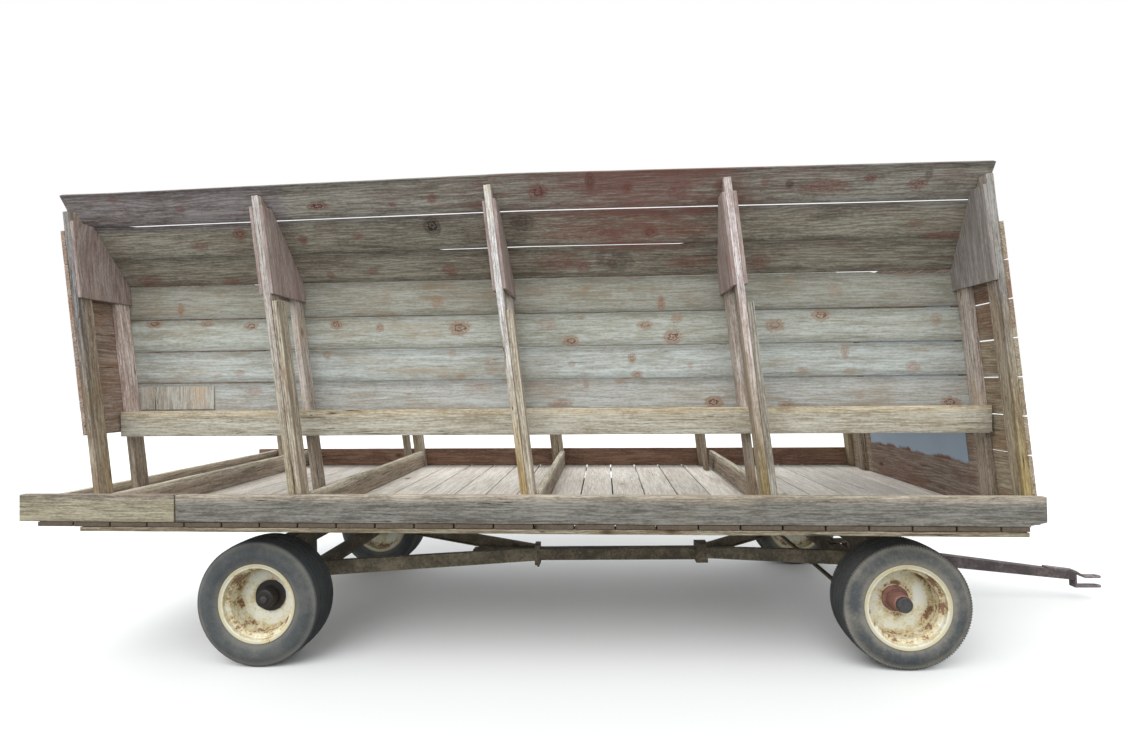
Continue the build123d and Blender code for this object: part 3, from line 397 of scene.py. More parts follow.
def build_rust(name):
    """Rust in layers: dark scale, lighter bloom and pits."""
    inputs = {"Place": "Vector", "Dark": "Color", "Light": "Color", "Bloom": "Float"}
    wiring, given, result = new_group(name, inputs, {"Color": "Color", "Height": "Float"})
    broad = wiring.noise(given["Place"], (7.0, 7.0, 7.0), 5.0, 0.65)
    fine = wiring.noise(given["Place"], (60.0, 60.0, 60.0), 4.0, 0.6)
    level = wiring.plus(wiring.blend(broad, fine, 0.6), wiring.minus(given["Bloom"], 0.5))
    wiring.put(result["Color"], wiring.mix(wiring.band(level, 0.38, 0.68), given["Dark"], given["Light"]))
    wiring.put(result["Height"], fine)
    return wiring.tree


def new_material(name):
    """A new material and its wiring."""
    material = bpy.data.materials.new(name)
    material.use_nodes = True
    return material, Wiring(material.node_tree)


def seen_on(pixel, normal):
    """The place on a near face of the hopper that a pixel of the photo shows."""
    stage = bpy.context.scene.wagon_stage
    camera = camera_matrix(stage)
    focal_pixels = stage.focal_length / sensor_width * photo_size[0]
    right = (pixel[0] - photo_size[0] / 2) / focal_pixels
    up = (photo_size[1] / 2 - pixel[1]) / focal_pixels
    ray = camera.to_3x3() @ Vector((right, up, -1.0))
    facing = deck_frame.to_3x3() @ normal
    reach = (deck_frame @ wall_head - camera.translation).dot(facing) / ray.dot(facing)
    return camera.translation + ray * reach


def marks_on(rows, normal):
    """Marks of the photo in metres; columns: x, z, half length, half height, strength."""
    marks = []
    for across, down, half_width, half_height, strength in rows:
        middle = seen_on((across, down), normal)
        beside = seen_on((across + half_width, down), normal)
        above = seen_on((across, down - half_height), normal)
        marks.append((middle.x, middle.z, abs(beside.x - middle.x), abs(above.z - middle.z), strength))
    return marks


def spots_mask(wiring, rows):
    """A mask of soft uneven ringed spots; columns: x, z, half length, half height, strength."""
    place = wiring.place()
    ragged = wiring.noise(place, (45.0, 45.0, 90.0), 4.0, 0.65)
    mask = 0.0
    for x, z, half_x, half_z, strength in rows:
        offset = wiring.vector("SUBTRACT", place, (x, 0.0, z))
        scaled = wiring.vector("MULTIPLY", offset, (1.0 / half_x, 0.0, 1.0 / half_z))
        distance = wiring.plus(wiring.vector("LENGTH", scaled), wiring.times(ragged, 1.3))
        ring = wiring.math("SINE", wiring.times(distance, 13.0))
        ringed = wiring.math("MULTIPLY_ADD", ring, 0.28, 0.72)
        spot = wiring.times(wiring.band(distance, 2.0, 1.3, 0.0, strength), ringed)
        mask = wiring.math("MAXIMUM", mask, spot)
    return mask


def timber_material(
    name, pale, dark, stain, rings=1.0, knots=1.0, checks=1.0, staining=0.5, paint=None, marks=()
):
    """A timber finish; the boards' own attributes give its grain, tone, paint, and dirt that in places is
    painted shade.
    """
    material, wiring = new_material(name)
    grain = wiring.attribute("grain")
    amounts = wiring.parts(wiring.attribute("look", "Color"))
    timber = wiring.shared("timber", build_timber, {
        "Grain": grain, "Pale": pale, "Dark": dark, "Stain": stain,
        "Rings": rings, "Knots": knots, "Checks": checks, "Staining": staining,
    })
    color = wiring.mix(1.0, timber["Color"], wiring.attribute("tint", "Color"), "MULTIPLY")
    for rows, mark_colour in marks:
        mask = spots_mask(wiring, rows)
        heart = [channel * 0.3 for channel in mark_colour]
        color = wiring.mix(mask, color, mark_colour)
        color = wiring.mix(wiring.band(mask, 0.68, 0.9, 0.0, 0.75), color, heart)
    if paint:
        values = {"Grain": grain, "Under": color, "Paint": tuple(paint), "Amount": amounts[0]}
        color = wiring.shared("old paint", build_old_paint, values)["Color"]
    # The grime amount mixes towards dark brown: dirt, and painted shade at the deck boards' near ends
    dirt = wiring.noise(grain, (3.0, 14.0, 14.0), 4.0, 0.6)
    grime_and_shade = wiring.math("MULTIPLY", amounts[1], dirt, clamp=True)
    wiring.surface({
        "Base Color": wiring.mix(grime_and_shade, color, (0.055, 0.042, 0.03)),
        "Roughness": 0.88,
        "Specular IOR Level": 0.25,
        "Normal": wiring.bump(timber["Height"], 0.35, 0.004),
    })
    return material


def rust_material(name, dark, light, bloom=0.5, roughness=0.8):
    """A rusty steel finish."""
    material, wiring = new_material(name)
    values = {"Place": wiring.place(), "Dark": tuple(dark), "Light": tuple(light), "Bloom": bloom}
    rust = wiring.shared("rust", build_rust, values)
    bump = wiring.bump(rust["Height"], 0.4, 0.002)
    wiring.surface({"Base Color": rust["Color"], "Roughness": roughness, "Normal": bump})
    return material


def sheet_material():
    """Dull zinc with rust that creeps up from its lower edge."""
    material, wiring = new_material("dull zinc")
    place = wiring.place()
    height = wiring.node("ShaderNodeSeparateXYZ", {0: place}).outputs[2]
    spread = wiring.noise(place, (9.0, 9.0, 9.0), 5.0, 0.65)
    low = wiring.band(wiring.plus(height, wiring.times(spread, 0.12)), 1.092, 1.062)
    zinc = wiring.mix(wiring.noise(place, (4.0, 4.0, 4.0)), (0.27, 0.34, 0.43), (0.37, 0.45, 0.55))
    color = wiring.mix(low, zinc, (0.17, 0.07, 0.035))
    wiring.surface({"Base Color": color, "Roughness": 0.6, "Metallic": 0.2})
    return material


def solids_of(node):
    """The solids of a CAD node, each as a merged mesh of its own."""
    whole = bmesh.new()
    whole.from_mesh(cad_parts[node].data)
    bmesh.ops.remove_doubles(whole, verts=whole.verts, dist=1e-5)
    bmesh.ops.dissolve_limit(whole, angle_limit=radians(0.5), verts=whole.verts, edges=whole.edges)
    waiting = set(whole.verts)
    solids = []
    while waiting:
        first = min(waiting, key=lambda vert: vert.index)
        found = {first}
        edge = [first]
        while edge:
            vert = edge.pop()
            for link in vert.link_edges:
                other = link.other_vert(vert)
                if other not in found:
                    found.add(other)
                    edge.append(other)
        waiting -= found
        solid = bmesh.new()
        copies = {vert: solid.verts.new(vert.co) for vert in sorted(found, key=lambda vert: vert.index)}
        for face in whole.faces:
            if face.verts[0] in found:
                solid.faces.new([copies[vert] for vert in face.verts])
        solids.append(solid)
    whole.free()
    return solids


def round_edges(solid, offset, sharpness, profile):
    """Rounds the edges whose faces meet at more than a given angle."""
    sharp = [
        edge for edge in solid.edges if len(edge.link_faces) == 2 and edge.calc_face_angle() > sharpness
    ]
    bmesh.ops.bevel(
        solid, geom=sharp, offset=offset, segments=2, profile=profile, affect="EDGES", clamp_overlap=True
    )


def limits_of(solid):
    """The lowest and the highest coordinates of a solid."""
    lows = [min(vert.co[axis] for vert in solid.verts) for axis in range(3)]
    highs = [max(vert.co[axis] for vert in solid.verts) for axis in range(3)]
    return lows, highs


def cut_along(solid, axis, step):
    """Cuts a solid across one local axis at even steps."""
    low, high = [limit[axis] for limit in limits_of(solid)]
    count = max(1, round((high - low) / step))
    normal = Vector([1.0 if number == axis else 0.0 for number in range(3)])
    for number in range(1, count):
        point = normal * (low + (high - low) * number / count)
        geometry = solid.verts[:] + solid.edges[:] + solid.faces[:]
        bmesh.ops.bisect_plane(solid, geom=geometry, plane_co=point, plane_no=normal, dist=1e-6)


def wear_down(solid, seed, edge_wear, end_wear):
    """Moves a board's skin inwards by small uneven amounts, most at its edges and ends."""
    lows, highs = limits_of(solid)
    for vert in solid.verts:
        u, v, w = vert.co
        slow = noise.noise(Vector((u * 2.1, seed * 7.3, 0.4))) * 0.5 + 0.5
        quick = noise.noise(Vector((u * 11.0, v * 9.0, w * 9.0 + seed * 3.1))) * 0.5 + 0.5
        for axis, amount in ((0, end_wear), (1, edge_wear), (2, edge_wear * 0.35)):
            size = highs[axis] - lows[axis]
            depth = min(amount, size * 0.2)
            low_side = vert.co[axis] - lows[axis] < size * 0.5
            near = min(vert.co[axis] - lows[axis], highs[axis] - vert.co[axis])
            if near > max(0.012, size * 0.1):
                continue
            side_seed = seed * 5.7 + (31.0 if low_side else 0.0)
            side_noise = noise.noise(Vector((u * 3.3, v * 13.0, side_seed)))
            shift = depth * (0.45 * slow + 0.35 * quick + 0.2 * (side_noise * 0.5 + 0.5))
            vert.co[axis] += shift if low_side else -shift


class Spot:
    """A place on a board's skin, measured on the board, and its x, y and z in the deck frame."""

    def __init__(self, board, co, lows, highs):
        self.board = board
        self.u, self.v, self.w = co
        self.foot = lows[1]
        self.from_start = self.u - lows[0]
        self.from_end = min(self.from_start, highs[0] - self.u)
        self.from_foot = self.v - lows[1]
        self.from_top = highs[1] - self.v
        self.from_edge = min(self.from_foot, self.from_top)
        self.along = self.from_start / (highs[0] - lows[0])
        self.across = self.from_foot / (highs[1] - lows[1])

    def stand_at(self, point):
        self.x, self.y, self.z = point


def plain_look(tint, grime_and_shade=0.0, paint=0.0):
    """One look for a whole board: its tint, paint and grime."""
    return lambda spot: (tint, paint, grime_and_shade)


def no_shift(spot):
    """Leaves a board's skin where it is."""
    return 0.0, 0.0, 0.0


def sorted_boards(nodes, lie):
    """The boards of some CAD nodes in a steady order, each in its own frame with its place."""
    place = deck_frame @ Matrix(board_axes[lie]).transposed().to_4x4()
    boards = []
    for node in nodes:
        for solid in solids_of(node):
            bmesh.ops.transform(solid, matrix=place.inverted(), verts=solid.verts)
            centre = sum((vert.co for vert in solid.verts), Vector()) / len(solid.verts)
            order = (node, round(centre[1], 3), round(centre[0], 3), round(centre[2], 3))
            boards.append((order, solid))
    boards.sort(key=lambda board: board[0])
    return [solid for order, solid in boards], place


def dress_boards(
    name, nodes, lie, material, slot, look, seed=0.0, wear=1.0, step=None, shift=no_shift, settle=True
):
    """Rebuilds the boards of some CAD nodes as worn timber in one piece, with its own grain."""
    timber = bpy.context.scene.wagon_timber
    verts, faces, grains, tints, looks = [], [], [], [], []
    boards, place = sorted_boards(nodes, lie)
    for board, solid in enumerate(boards):
        board_seed = seed + board * 1.37
        round_edges(solid, timber.edge_round, 0.4, 0.6)
        cut_along(solid, 0, step or timber.step)
        cut_along(solid, 1, 0.05)
        wear_down(solid, board_seed, timber.edge_wear * wear, timber.end_wear * wear)
        lows, highs = limits_of(solid)
        middle = (lows[1] + highs[1]) / 2
        # The tree's heart lies beside and behind the board
        pith_across = noise.noise(Vector((board_seed, 4.1, 2.2))) * 0.10
        pith_behind = 0.035 + abs(noise.noise(Vector((board_seed, 9.1, 7.7)))) * 0.10
        start = len(verts)
        solid.verts.index_update()
        for vert in solid.verts:
            spot = Spot(board, vert.co, lows, highs)
            spot.stand_at(to_deck @ (place @ vert.co))
            placed = place @ (vert.co + Vector(shift(spot)))
            if settle:
                placed = deck_frame @ settled(to_deck @ placed)
            spot.stand_at(to_deck @ placed)
            tint, paint, grime_and_shade = look(spot)
            depth = spot.w - lows[2] + pith_behind
            grains += (spot.u + board_seed * 11.0, spot.v - middle + pith_across, depth)
            tints += (*tint, 1.0)
            looks += (paint, grime_and_shade, 0.0, 1.0)
            verts.append(placed)
        faces += [[start + vert.index for vert in face.verts] for face in solid.faces]
        solid.free()
    mesh = bpy.data.meshes.new(name)
    mesh.from_pydata(verts, [], faces)
    mesh.attributes.new("grain", "FLOAT_VECTOR", "POINT").data.foreach_set("vector", grains)
    mesh.attributes.new("tint", "FLOAT_COLOR", "POINT").data.foreach_set("color", tints)
    mesh.attributes.new("look", "FLOAT_COLOR", "POINT").data.foreach_set("color", looks)
    mesh.update()
    return add_piece(name, mesh, material, "wagon", slot, *nodes)


def add_piece(name, mesh, material, body, slot, *replaced):
    """Puts a finished mesh into the scene as a piece that rides on a body."""
    if not mesh.materials:
        mesh.materials.append(material)
    piece = bpy.data.objects.new(name, mesh)
    bpy.context.scene.collection.objects.link(piece)
    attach(piece, body)
    if replaced:
        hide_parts(*replaced)
    return piece


def rounded_copy(name, node, material, body, slot, rounding):
    """A copy of a CAD node with its sharp edges rounded."""
    whole = bmesh.new()
    for solid in solids_of(node):
        round_edges(solid, rounding, 0.6, 0.5)
        part = bpy.data.meshes.new("part")
        solid.to_mesh(part)
        solid.free()
        whole.from_mesh(part)
        bpy.data.meshes.remove(part)
    mesh = bpy.data.meshes.new(name)
    whole.to_mesh(mesh)
    whole.free()
    return add_piece(name, mesh, material, body, slot, node)


def vary(seed, board, low, high):
    """A steady random number for a board."""
    value = noise.noise(Vector((seed + board * 3.17, board * 1.91, seed * 0.7)))
    return low + (high - low) * min(1.0, max(0.0, value * 0.9 + 0.5))


def floor_look(spot):
    """Bleached boards, dull at the front and beside the curbs, with painted shade darkening their near ends
    below the curb.
    """
    # Painted shade: the near ends below the curb get a dark brown tint and extra grime that stand for their
    # shadow
    if spot.y < -1.045:
        return (0.21, 0.17, 0.135), 0.0, 0.3
    value = vary(2.0, spot.board, 1.0, 1.2)
    if spot.x > 0.8:
        value *= 0.86
    if abs(spot.y) > 0.86:
        value *= 0.7
    warmth = 0.03
    tint = (value * (1.0 + warmth), value, value * (1.0 - warmth))
    return tint, 0.0, 0.5 if spot.from_end < 0.01 else 0.12


class WAGON_OT_deck(bpy.types.Operator):
    """Lays the worn deck boards, edge strips and sills"""

    bl_idname = "wagon.deck"
    bl_label = "Deck"

    def execute(self, context):
        timber = context.scene.wagon_timber
        bleached = timber_material(
            "bleached deck", (0.80, 0.78, 0.74), (0.52, 0.48, 0.43), (0.36, 0.28, 0.20), rings=0.4,
            checks=0.6, staining=0.3,
        )
        dress_boards(
            "deck_boards_worn", ["deck_boards"], "deck", bleached, "wood_deck", floor_look, 1.0,
            settle=False,
        )
        under = timber_material(
            "under timber", timber.pale_grey, timber.dark_grey, (0.22, 0.14, 0.08), staining=0.4
        )
        dress_boards(
            "edge_strips_worn", ["edge_strips"], "lengthwise", under, "wood_grey",
            plain_look((0.86, 0.80, 0.68), 0.2), 30.0, settle=False,
        )
        dress_boards(
            "deck_sills_worn", ["deck_sills", "bolster_blocks"], "lengthwise", under, "wood_grey",
            plain_look((0.594, 0.55, 0.506), 0.5), 40.0, step=0.15, settle=False,
        )
        return {"FINISHED"}


def near_curb_look(spot):
    """The near curb: a yellower piece behind its joint, a grey one before it, both pale on top."""
    joint = -2.34
    top = spot.from_top < 0.010
    if spot.x < joint:
        tint = (1.15, 1.02, 0.98) if top else (1.48, 1.42, 1.22)
    else:
        tint = (1.75, 1.60, 1.52) if top else (0.82, 0.83, 0.87)
    return tint, 0.0, 0.35 if spot.from_foot < 0.02 else 0.08


def divider_look(spot):
    return ((2.3, 2.2, 2.1) if spot.from_top < 0.010 else (1.25, 1.08, 1.0)), 0.0, 0.1


class WAGON_OT_curbs(bpy.types.Operator):
    """Sets the curb planks and dividers on edge round the deck"""

    bl_idname = "wagon.curbs"
    bl_label = "Curbs"

    def execute(self, context):
        curb = timber_material(
            "grey curb", (0.36, 0.34, 0.29), (0.135, 0.125, 0.10), (0.35, 0.29, 0.19), rings=0.5,
            knots=0.3, staining=0.35,
        )
        dress_boards(
            "curb_near_worn", ["curb_near"], "lengthwise", curb, "wood_grey", near_curb_look, 51.0,
            settle=False,
        )
        dark = timber_material(
            "brown curb", (0.25, 0.18, 0.13), (0.10, 0.065, 0.045), (0.33, 0.27, 0.2), rings=0.4,
            staining=0.3,
        )
        dress_boards(
            "curb_far_worn", ["curb_far"], "lengthwise", dark, "wood_grey",
            plain_look((1.35, 1.15, 1.15)), 55.0, settle=False,
        )
        dress_boards(
            "dividers_worn", ["curb_rear", "divider_planks"], "across", curb, "wood_grey",
            divider_look, 58.0,
        )
        return {"FINISHED"}


# columns: tint of the posts' outer face high up, then low down, one row for each station
post_faces = (
    ((0.80, 0.88, 1.04), (1.15, 1.08, 0.95)),
    ((1.58, 1.65, 1.88), (1.15, 1.13, 0.95)),
    ((2.10, 2.35, 2.80), (1.24, 1.12, 0.76)),
    ((2.15, 2.18, 2.60), (0.82, 0.72, 0.42)),
    ((1.00, 1.08, 1.20), (1.05, 0.90, 0.50)),
)
post_sides = ((1.2, 1.12, 1.08), (1.15, 1.08, 0.92))
# How much longer than the plain posts their worn heads stand at each station
post_heads = (-0.069, -0.015, 0.003, 0.003, -0.021)


def post_look(spot):
    """Outer posts: bleached high up on their outer faces, yellow low down, dirty at the foot."""
    low = max(0.0, min(1.0, 1.25 - spot.along * 1.9))
    outward = spot.from_edge < 0.010 and abs(spot.y) > 1.0
    high_tint, low_tint = post_faces[station_at(spot)] if outward else post_sides
    tint = [a + (b - a) * low for a, b in zip(high_tint, low_tint)]
    paint = 0.12 if outward else 0.15 + 0.4 * max(0.0, spot.along - 0.5)
    return tint, paint, max(0.0, 0.9 - spot.along * 14.0)


def post_shift(spot):
    head = max(0.0, spot.along - 0.7) / 0.3
    return head * post_heads[station_at(spot)], 0.0, 0.0


def inner_post_look(spot):
    """Inner posts: pale and reddish above the feed rail, dark below it."""
    if spot.along <= 0.33:
        return (0.9, 0.85, 0.8), 0.1, max(0.0, 0.8 - spot.along * 9.0)
    tint = (2.5, 2.4, 2.7) if station_at(spot) == 0 else (1.7, 1.7, 1.85)
    return tint, 0.35, max(0.0, 0.8 - spot.along * 9.0)


def sister_look(spot):
    return ((1.5, 1.5, 1.55) if spot.x < 0.4 else (1.05, 1.1, 1.2)), 0.0, 0.15


def gusset_look(spot):
    if station_at(spot) == 4:
        return (1.6, 1.72, 1.82), 0.15, 0.15
    return (2.0, 1.92, 2.0), 0.45, 0.15


def gusset_shift(spot):
    """Sets one middle gusset's edge back, and lowers the rear gussets' heads."""
    station = station_at(spot)
    behind = spot.x < station_places[2] - spot.z * tan(station_rake)
    if station == 2 and behind and spot.y < -1.0:
        return 0.0, 0.022, 0.0
    if station == 0:
        head = max(0.0, spot.z - 1.40) / 0.312
        inward = 0.036 if abs(spot.y) < 1.0 else 0.0
        return -0.056 * head, -inward * head * (1 if spot.y > 0 else -1), 0.0
    return no_shift(spot)


class WAGON_OT_posts(bpy.types.Operator):
    """Stands the raked posts with their sister boards and gussets"""

    bl_idname = "wagon.posts"
    bl_label = "Posts"

    def execute(self, context):
        timber = context.scene.wagon_timber
        post = timber_material(
            "post timber", (0.42, 0.38, 0.32), (0.17, 0.13, 0.095), (0.34, 0.24, 0.12), rings=0.6,
            staining=0.45, paint=timber.barn_red,
        )
        dress_boards(
            "outer_posts_worn", ["outer_posts"], "post", post, "wood_post", post_look, 61.0,
            shift=post_shift,
        )
        dress_boards(
            "inner_posts_worn", ["inner_posts"], "post", post, "wood_post", inner_post_look, 67.0
        )
        rough = timber_material(
            "rough timber", (0.46, 0.42, 0.33), (0.17, 0.13, 0.09), (0.30, 0.21, 0.12)
        )
        dress_boards(
            "sister_boards_worn", ["sister_boards"], "post", rough, "wood_grey", sister_look, 71.0,
            wear=2.2,
        )
        plate = timber_material(
            "gusset timber", (0.275, 0.24, 0.21), (0.15, 0.12, 0.105), (0.2, 0.13, 0.10), rings=0.9,
            knots=0.5, checks=0.6, staining=0.4, paint=timber.barn_red,
        )
        dress_boards(
            "gussets_worn", ["gussets"], "post", plate, "wood_red", gusset_look, 77.0, wear=0.6,
            shift=gusset_shift,
        )
        return {"FINISHED"}


def rail_look(spot):
    tint = (1.45, 1.38, 1.25) if spot.from_top < 0.012 else (1.22, 1.28, 1.36)
    return tint, 0.0, 0.35 if spot.from_foot < 0.015 else 0.05


def wall_look(spot):
    """Wall boards: pale grey, darker and a little browner in the top row, where painted shade stands for the
    flare boards' overhang, dark along their edges.
    """
    # from the lowest board up; the top row's darker tint is painted shade under the flare boards' overhang
    tint = ((0.98, 1.0, 1.06), (1.0, 1.06, 1.12), (0.96, 1.0, 1.0), (0.75, 0.75, 0.72))[spot.board % 4]
    shaded = (0.92 if spot.x > 0.85 else 1.0) * (0.7 if spot.from_edge < 0.006 else 1.0)
    return [channel * shaded for channel in tint], 0.0, 0.05


def wall_shift(spot):
    """Closes the slit over the top wall board, apart from one short stretch."""
    if spot.z > 1.29 and spot.from_top < 0.01:
        return 0.0, (-0.007 if 1.5 < spot.x < 1.94 else 0.0085), 0.0
    return no_shift(spot)


def flare_look(spot):
    """Flare boards: red round the middle, grey towards the ends, dark along their edges."""
    up = spot.v - flare_start
    row = 0 if up < 0.182 else (1 if up < 0.378 else 2)
    reddish = max(0.0, 1.0 - abs(spot.x - 0.15) / 1.3)
    red = (0.18 + 0.2 * reddish, 0.12 + 0.5 * reddish, 0.34 + 0.32 * reddish)[row]
    tint = ((1.1, 1.06, 1.0), (1.25, 1.22, 1.16), (1.25, 1.24, 1.26))[row]
    if row == 2 and spot.x < -1.8:
        tint = (1.05, 1.0, 1.16)
    shaded = 0.85 if -1.6 < spot.x < -0.47 and row == 1 else 1.0
    shaded *= 0.62 if spot.from_edge < 0.009 else 1.0
    return [channel * shaded for channel in tint], red, 0.08


def flare_edge_at(row, x):
    """How far up the slope the upper edge of a row of flare boards lies."""
    rear, middle, front = flare_edges[row]
    reach = flare_rear_reach if x < flare_middle else flare_front_reach
    share = max(-1.0, min(1.0, (x - flare_middle) / reach))
    return middle + (middle - rear if share < 0 else front - middle) * share


def flare_shift(spot):
    """Moves the flare boards' edges to where they have shrunk and sagged, with their slits."""
    row = sum(spot.foot - flare_start > low for low in (0.10, 0.30))
    upper = flare_edge_at(row, spot.x)
    lower = flare_edge_at(row - 1, spot.x) + flare_gaps[row - 1] if row else flare_foot_gap
    up = lower + spot.across * (upper - lower)
    du, dv = 0.0, flare_start + up - spot.v
    if spot.from_top < 0.03:
        if 0.10 < up < 0.21:
            dv += -0.003 if -0.94 < spot.x < 0.43 else 0.007
        if 0.32 < up < 0.41 and spot.x < -2.75:
            dv += 0.007
    if up > 0.16 and abs(spot.x - flare_joint) < 0.12:
        du = 0.0035 if spot.along > 0.5 else -0.0035
    return du, dv, 0.0


def rear_wall_look(spot):
    return ((2.6, 2.8, 3.2) if spot.y < -1.05 else (1.45, 1.32, 1.34)), 0.35, 0.1


def rear_wall_shift(spot):
    return 0.0, (0.0032 if spot.from_top < 0.03 else 0.0), 0.0


def front_wall_look(spot):
    """The front wall: reddish between the inner posts and across its middle boards."""
    inside = abs(spot.y) < 0.62
    red = 0.55 if 0.75 < spot.v < 1.15 else (0.42 if inside else 0.22)
    return ((0.92, 0.86, 0.9) if inside else (1.45, 1.42, 1.3)), red, 0.12


def front_wall_shift(spot):
    """Draws the front wall's boards closer together; the lowest comes down to the deck."""
    dv = -0.0121 * (spot.v - 0.143)
    if spot.foot < 0.1 and spot.from_foot < 0.03:
        dv -= 0.010
    elif spot.foot < 0.1 and spot.from_top < 0.03 and spot.y > -0.7:
        dv += 0.007
    return 0.0, dv, 0.0


class WAGON_OT_hopper(bpy.types.Operator):
    """Boards the hopper: rails, walls, flared sides, end walls, sheet and patch"""

    bl_idname = "wagon.hopper"
    bl_label = "Hopper"

    def execute(self, context):
        self.board_sides(context.scene.wagon_timber)
        self.board_ends(context.scene.wagon_timber)
        return {"FINISHED"}

    def board_sides(self, timber):
        rail = timber_material(
            "rail timber", (0.50, 0.46, 0.37), (0.24, 0.19, 0.125), (0.33, 0.25, 0.14), rings=0.5,
            knots=0.3, staining=0.35,
        )
        dress_boards("feed_rails_worn", ["feed_rails"], "lengthwise", rail, "wood_grey", rail_look, 81.0)
        wall = timber_material(
            "wall timber", (0.58, 0.585, 0.54), (0.34, 0.315, 0.25), (0.36, 0.25, 0.15), rings=0.45,
            knots=0.0, checks=0.4, staining=0.7,
            marks=((marks_on(wall_knots, sideways), (0.30, 0.165, 0.10)),),
        )
        flare_through = board_axes["flare_near"][2]
        flare = timber_material(
            "flare timber", (0.36, 0.35, 0.30), (0.14, 0.12, 0.095), (0.19, 0.125, 0.10), rings=0.8,
            knots=0.0, checks=0.6, staining=0.5, paint=timber.barn_red,
            marks=(
                (marks_on(red_marks, flare_through), (0.20, 0.075, 0.055)),
                (marks_on(dark_marks, flare_through), (0.055, 0.04, 0.035)),
            ),
        )
        for side, seed in (("near", 85.0), ("far", 88.0)):
            dress_boards(
                "wall_boards_%s_worn" % side, ["wall_boards_" + side], "lengthwise", wall, "wood_grey",
                wall_look, seed, wear=0.6, shift=wall_shift,
            )
        for side, seed in (("near", 91.0), ("far", 95.0)):
            dress_boards(
                "flare_boards_%s_worn" % side, ["flare_boards_" + side], "flare_" + side, flare,
                "wood_red", flare_look, seed, wear=0.6, shift=flare_shift,
            )

    def board_ends(self, timber):
        end = timber_material(
            "end timber", (0.36, 0.32, 0.26), (0.15, 0.11, 0.08), (0.24, 0.13, 0.06), rings=0.8,
            paint=timber.barn_red,
        )
        dress_boards(
            "rear_wall_worn", ["rear_end_wall"], "end_wall", end, "wood_grey", rear_wall_look, 101.0,
            wear=0.15, shift=rear_wall_shift,
        )
        dress_boards(
            "front_wall_worn", ["front_end_wall"], "end_wall", end, "wood_grey", front_wall_look,
            107.0, wear=0.6, shift=front_wall_shift,
        )
        ply = timber_material(
            "patch plywood", (0.50, 0.46, 0.39), (0.30, 0.23, 0.17), (0.46, 0.27, 0.13), rings=0.2,
            knots=0.0, staining=0.7,
        )
        dress_boards(
            "plywood_patch_worn", ["plywood_patch"], "upright", ply, "plywood",
            plain_look((1.18, 1.28, 1.38), 0.1), 111.0,
        )
        sheet = rounded_copy(
            "metal_sheet_worn", "metal_sheet", sheet_material(), "wagon", "sheet_metal", 0.0003
        )
        for vert in sheet.data.vertices:
            vert.co = deck_frame @ settled(to_deck @ vert.co)


class WAGON_OT_running_gear(bpy.types.Operator):
    """Gives the axles, hounds, reach, bolsters and steering their rusty steel"""

    bl_idname = "wagon.running_gear"
    bl_label = "Running gear"

    def execute(self, context):
        steel = context.scene.wagon_steel
        old = rust_material("old rust", steel.rust_dark, steel.rust_light, 0.45)
        dusty = rust_material("dusty steel", (0.12, 0.10, 0.07), (0.33, 0.275, 0.19))
        brown = rust_material("brown rust", (0.07, 0.055, 0.055), (0.21, 0.165, 0.16), 0.45)
        bare = rust_material("worn steel", (0.09, 0.07, 0.065), (0.30, 0.26, 0.26))
        finishes = {"rear_hounds": dusty, "front_hounds": dusty, "tongue": brown, "hitch_straps": bare}
        bodies = {
            "wagon": (
                "bolster_rear", "bolster_front", "rear_axle", "front_axle", "rear_hounds",
                "front_hounds", "reach_pole", "reach_collar", "reach_clamp",
            ),
            "bell": ("steering_bell",),
            "rod": ("tie_rod",),
            "steer_near": ("knuckle_near",),
            "steer_far": ("knuckle_far",),
            "drawbar": ("tongue", "hitch_straps"),
        }
        for body, nodes in bodies.items():
            for node in nodes:
                finish = finishes.get(node, old)
                rounded_copy(node + "_rusty", node, finish, body, "rusty_steel", steel.edge_round)
        return {"FINISHED"}


def wheel_place(axle, side):
    """From a wheel's own frame, with Y outwards, to its place on the wagon."""
    x, out, height = hub_places[axle]
    half_turn = 0.0 if side > 0 else pi
    return Matrix.Translation((x, side * out, height)) @ Matrix.Rotation(half_turn, 4, "Z")


def turned_mesh(name, profile, place, segments, material):
    """A closed ring turned about a wheel's axis, from its outward distances and radii."""
    verts, faces, spots = [], [], []
    count = len(profile)
    for step in range(segments):
        angle = tau * step / segments
        for out, radius in profile:
            spot = Vector((radius * cos(angle), out, radius * sin(angle)))
            spots += tuple(spot)
            verts.append(place @ spot)
    for step in range(segments):
        here, there = step * count, (step + 1) % segments * count
        for number in range(count):
            after = (number + 1) % count
            faces.append((here + number, here + after, there + after, there + number))
    mesh = bpy.data.meshes.new(name)
    mesh.from_pydata(verts, [], faces)
    mesh.attributes.new("spot", "FLOAT_VECTOR", "POINT").data.foreach_set("vector", spots)
    solid = bmesh.new()
    solid.from_mesh(mesh)
    bmesh.ops.recalc_face_normals(solid, faces=solid.faces)
    solid.to_mesh(mesh)
    solid.free()
    mesh.shade_smooth()
    mesh.set_sharp_from_angle(angle=radians(35))
    mesh.materials.append(material)
    return mesh


def arc_points(start, end, bulge, count):
    """Points from one profile point to another along a bulging curve, without the two."""
    points = []
    for number in range(1, count):
        t = number / count
        out = start[0] + (end[0] - start[0]) * t + bulge * sin(t * pi)
        points.append((out, start[1] + (end[1] - start[1]) * t))
    return points


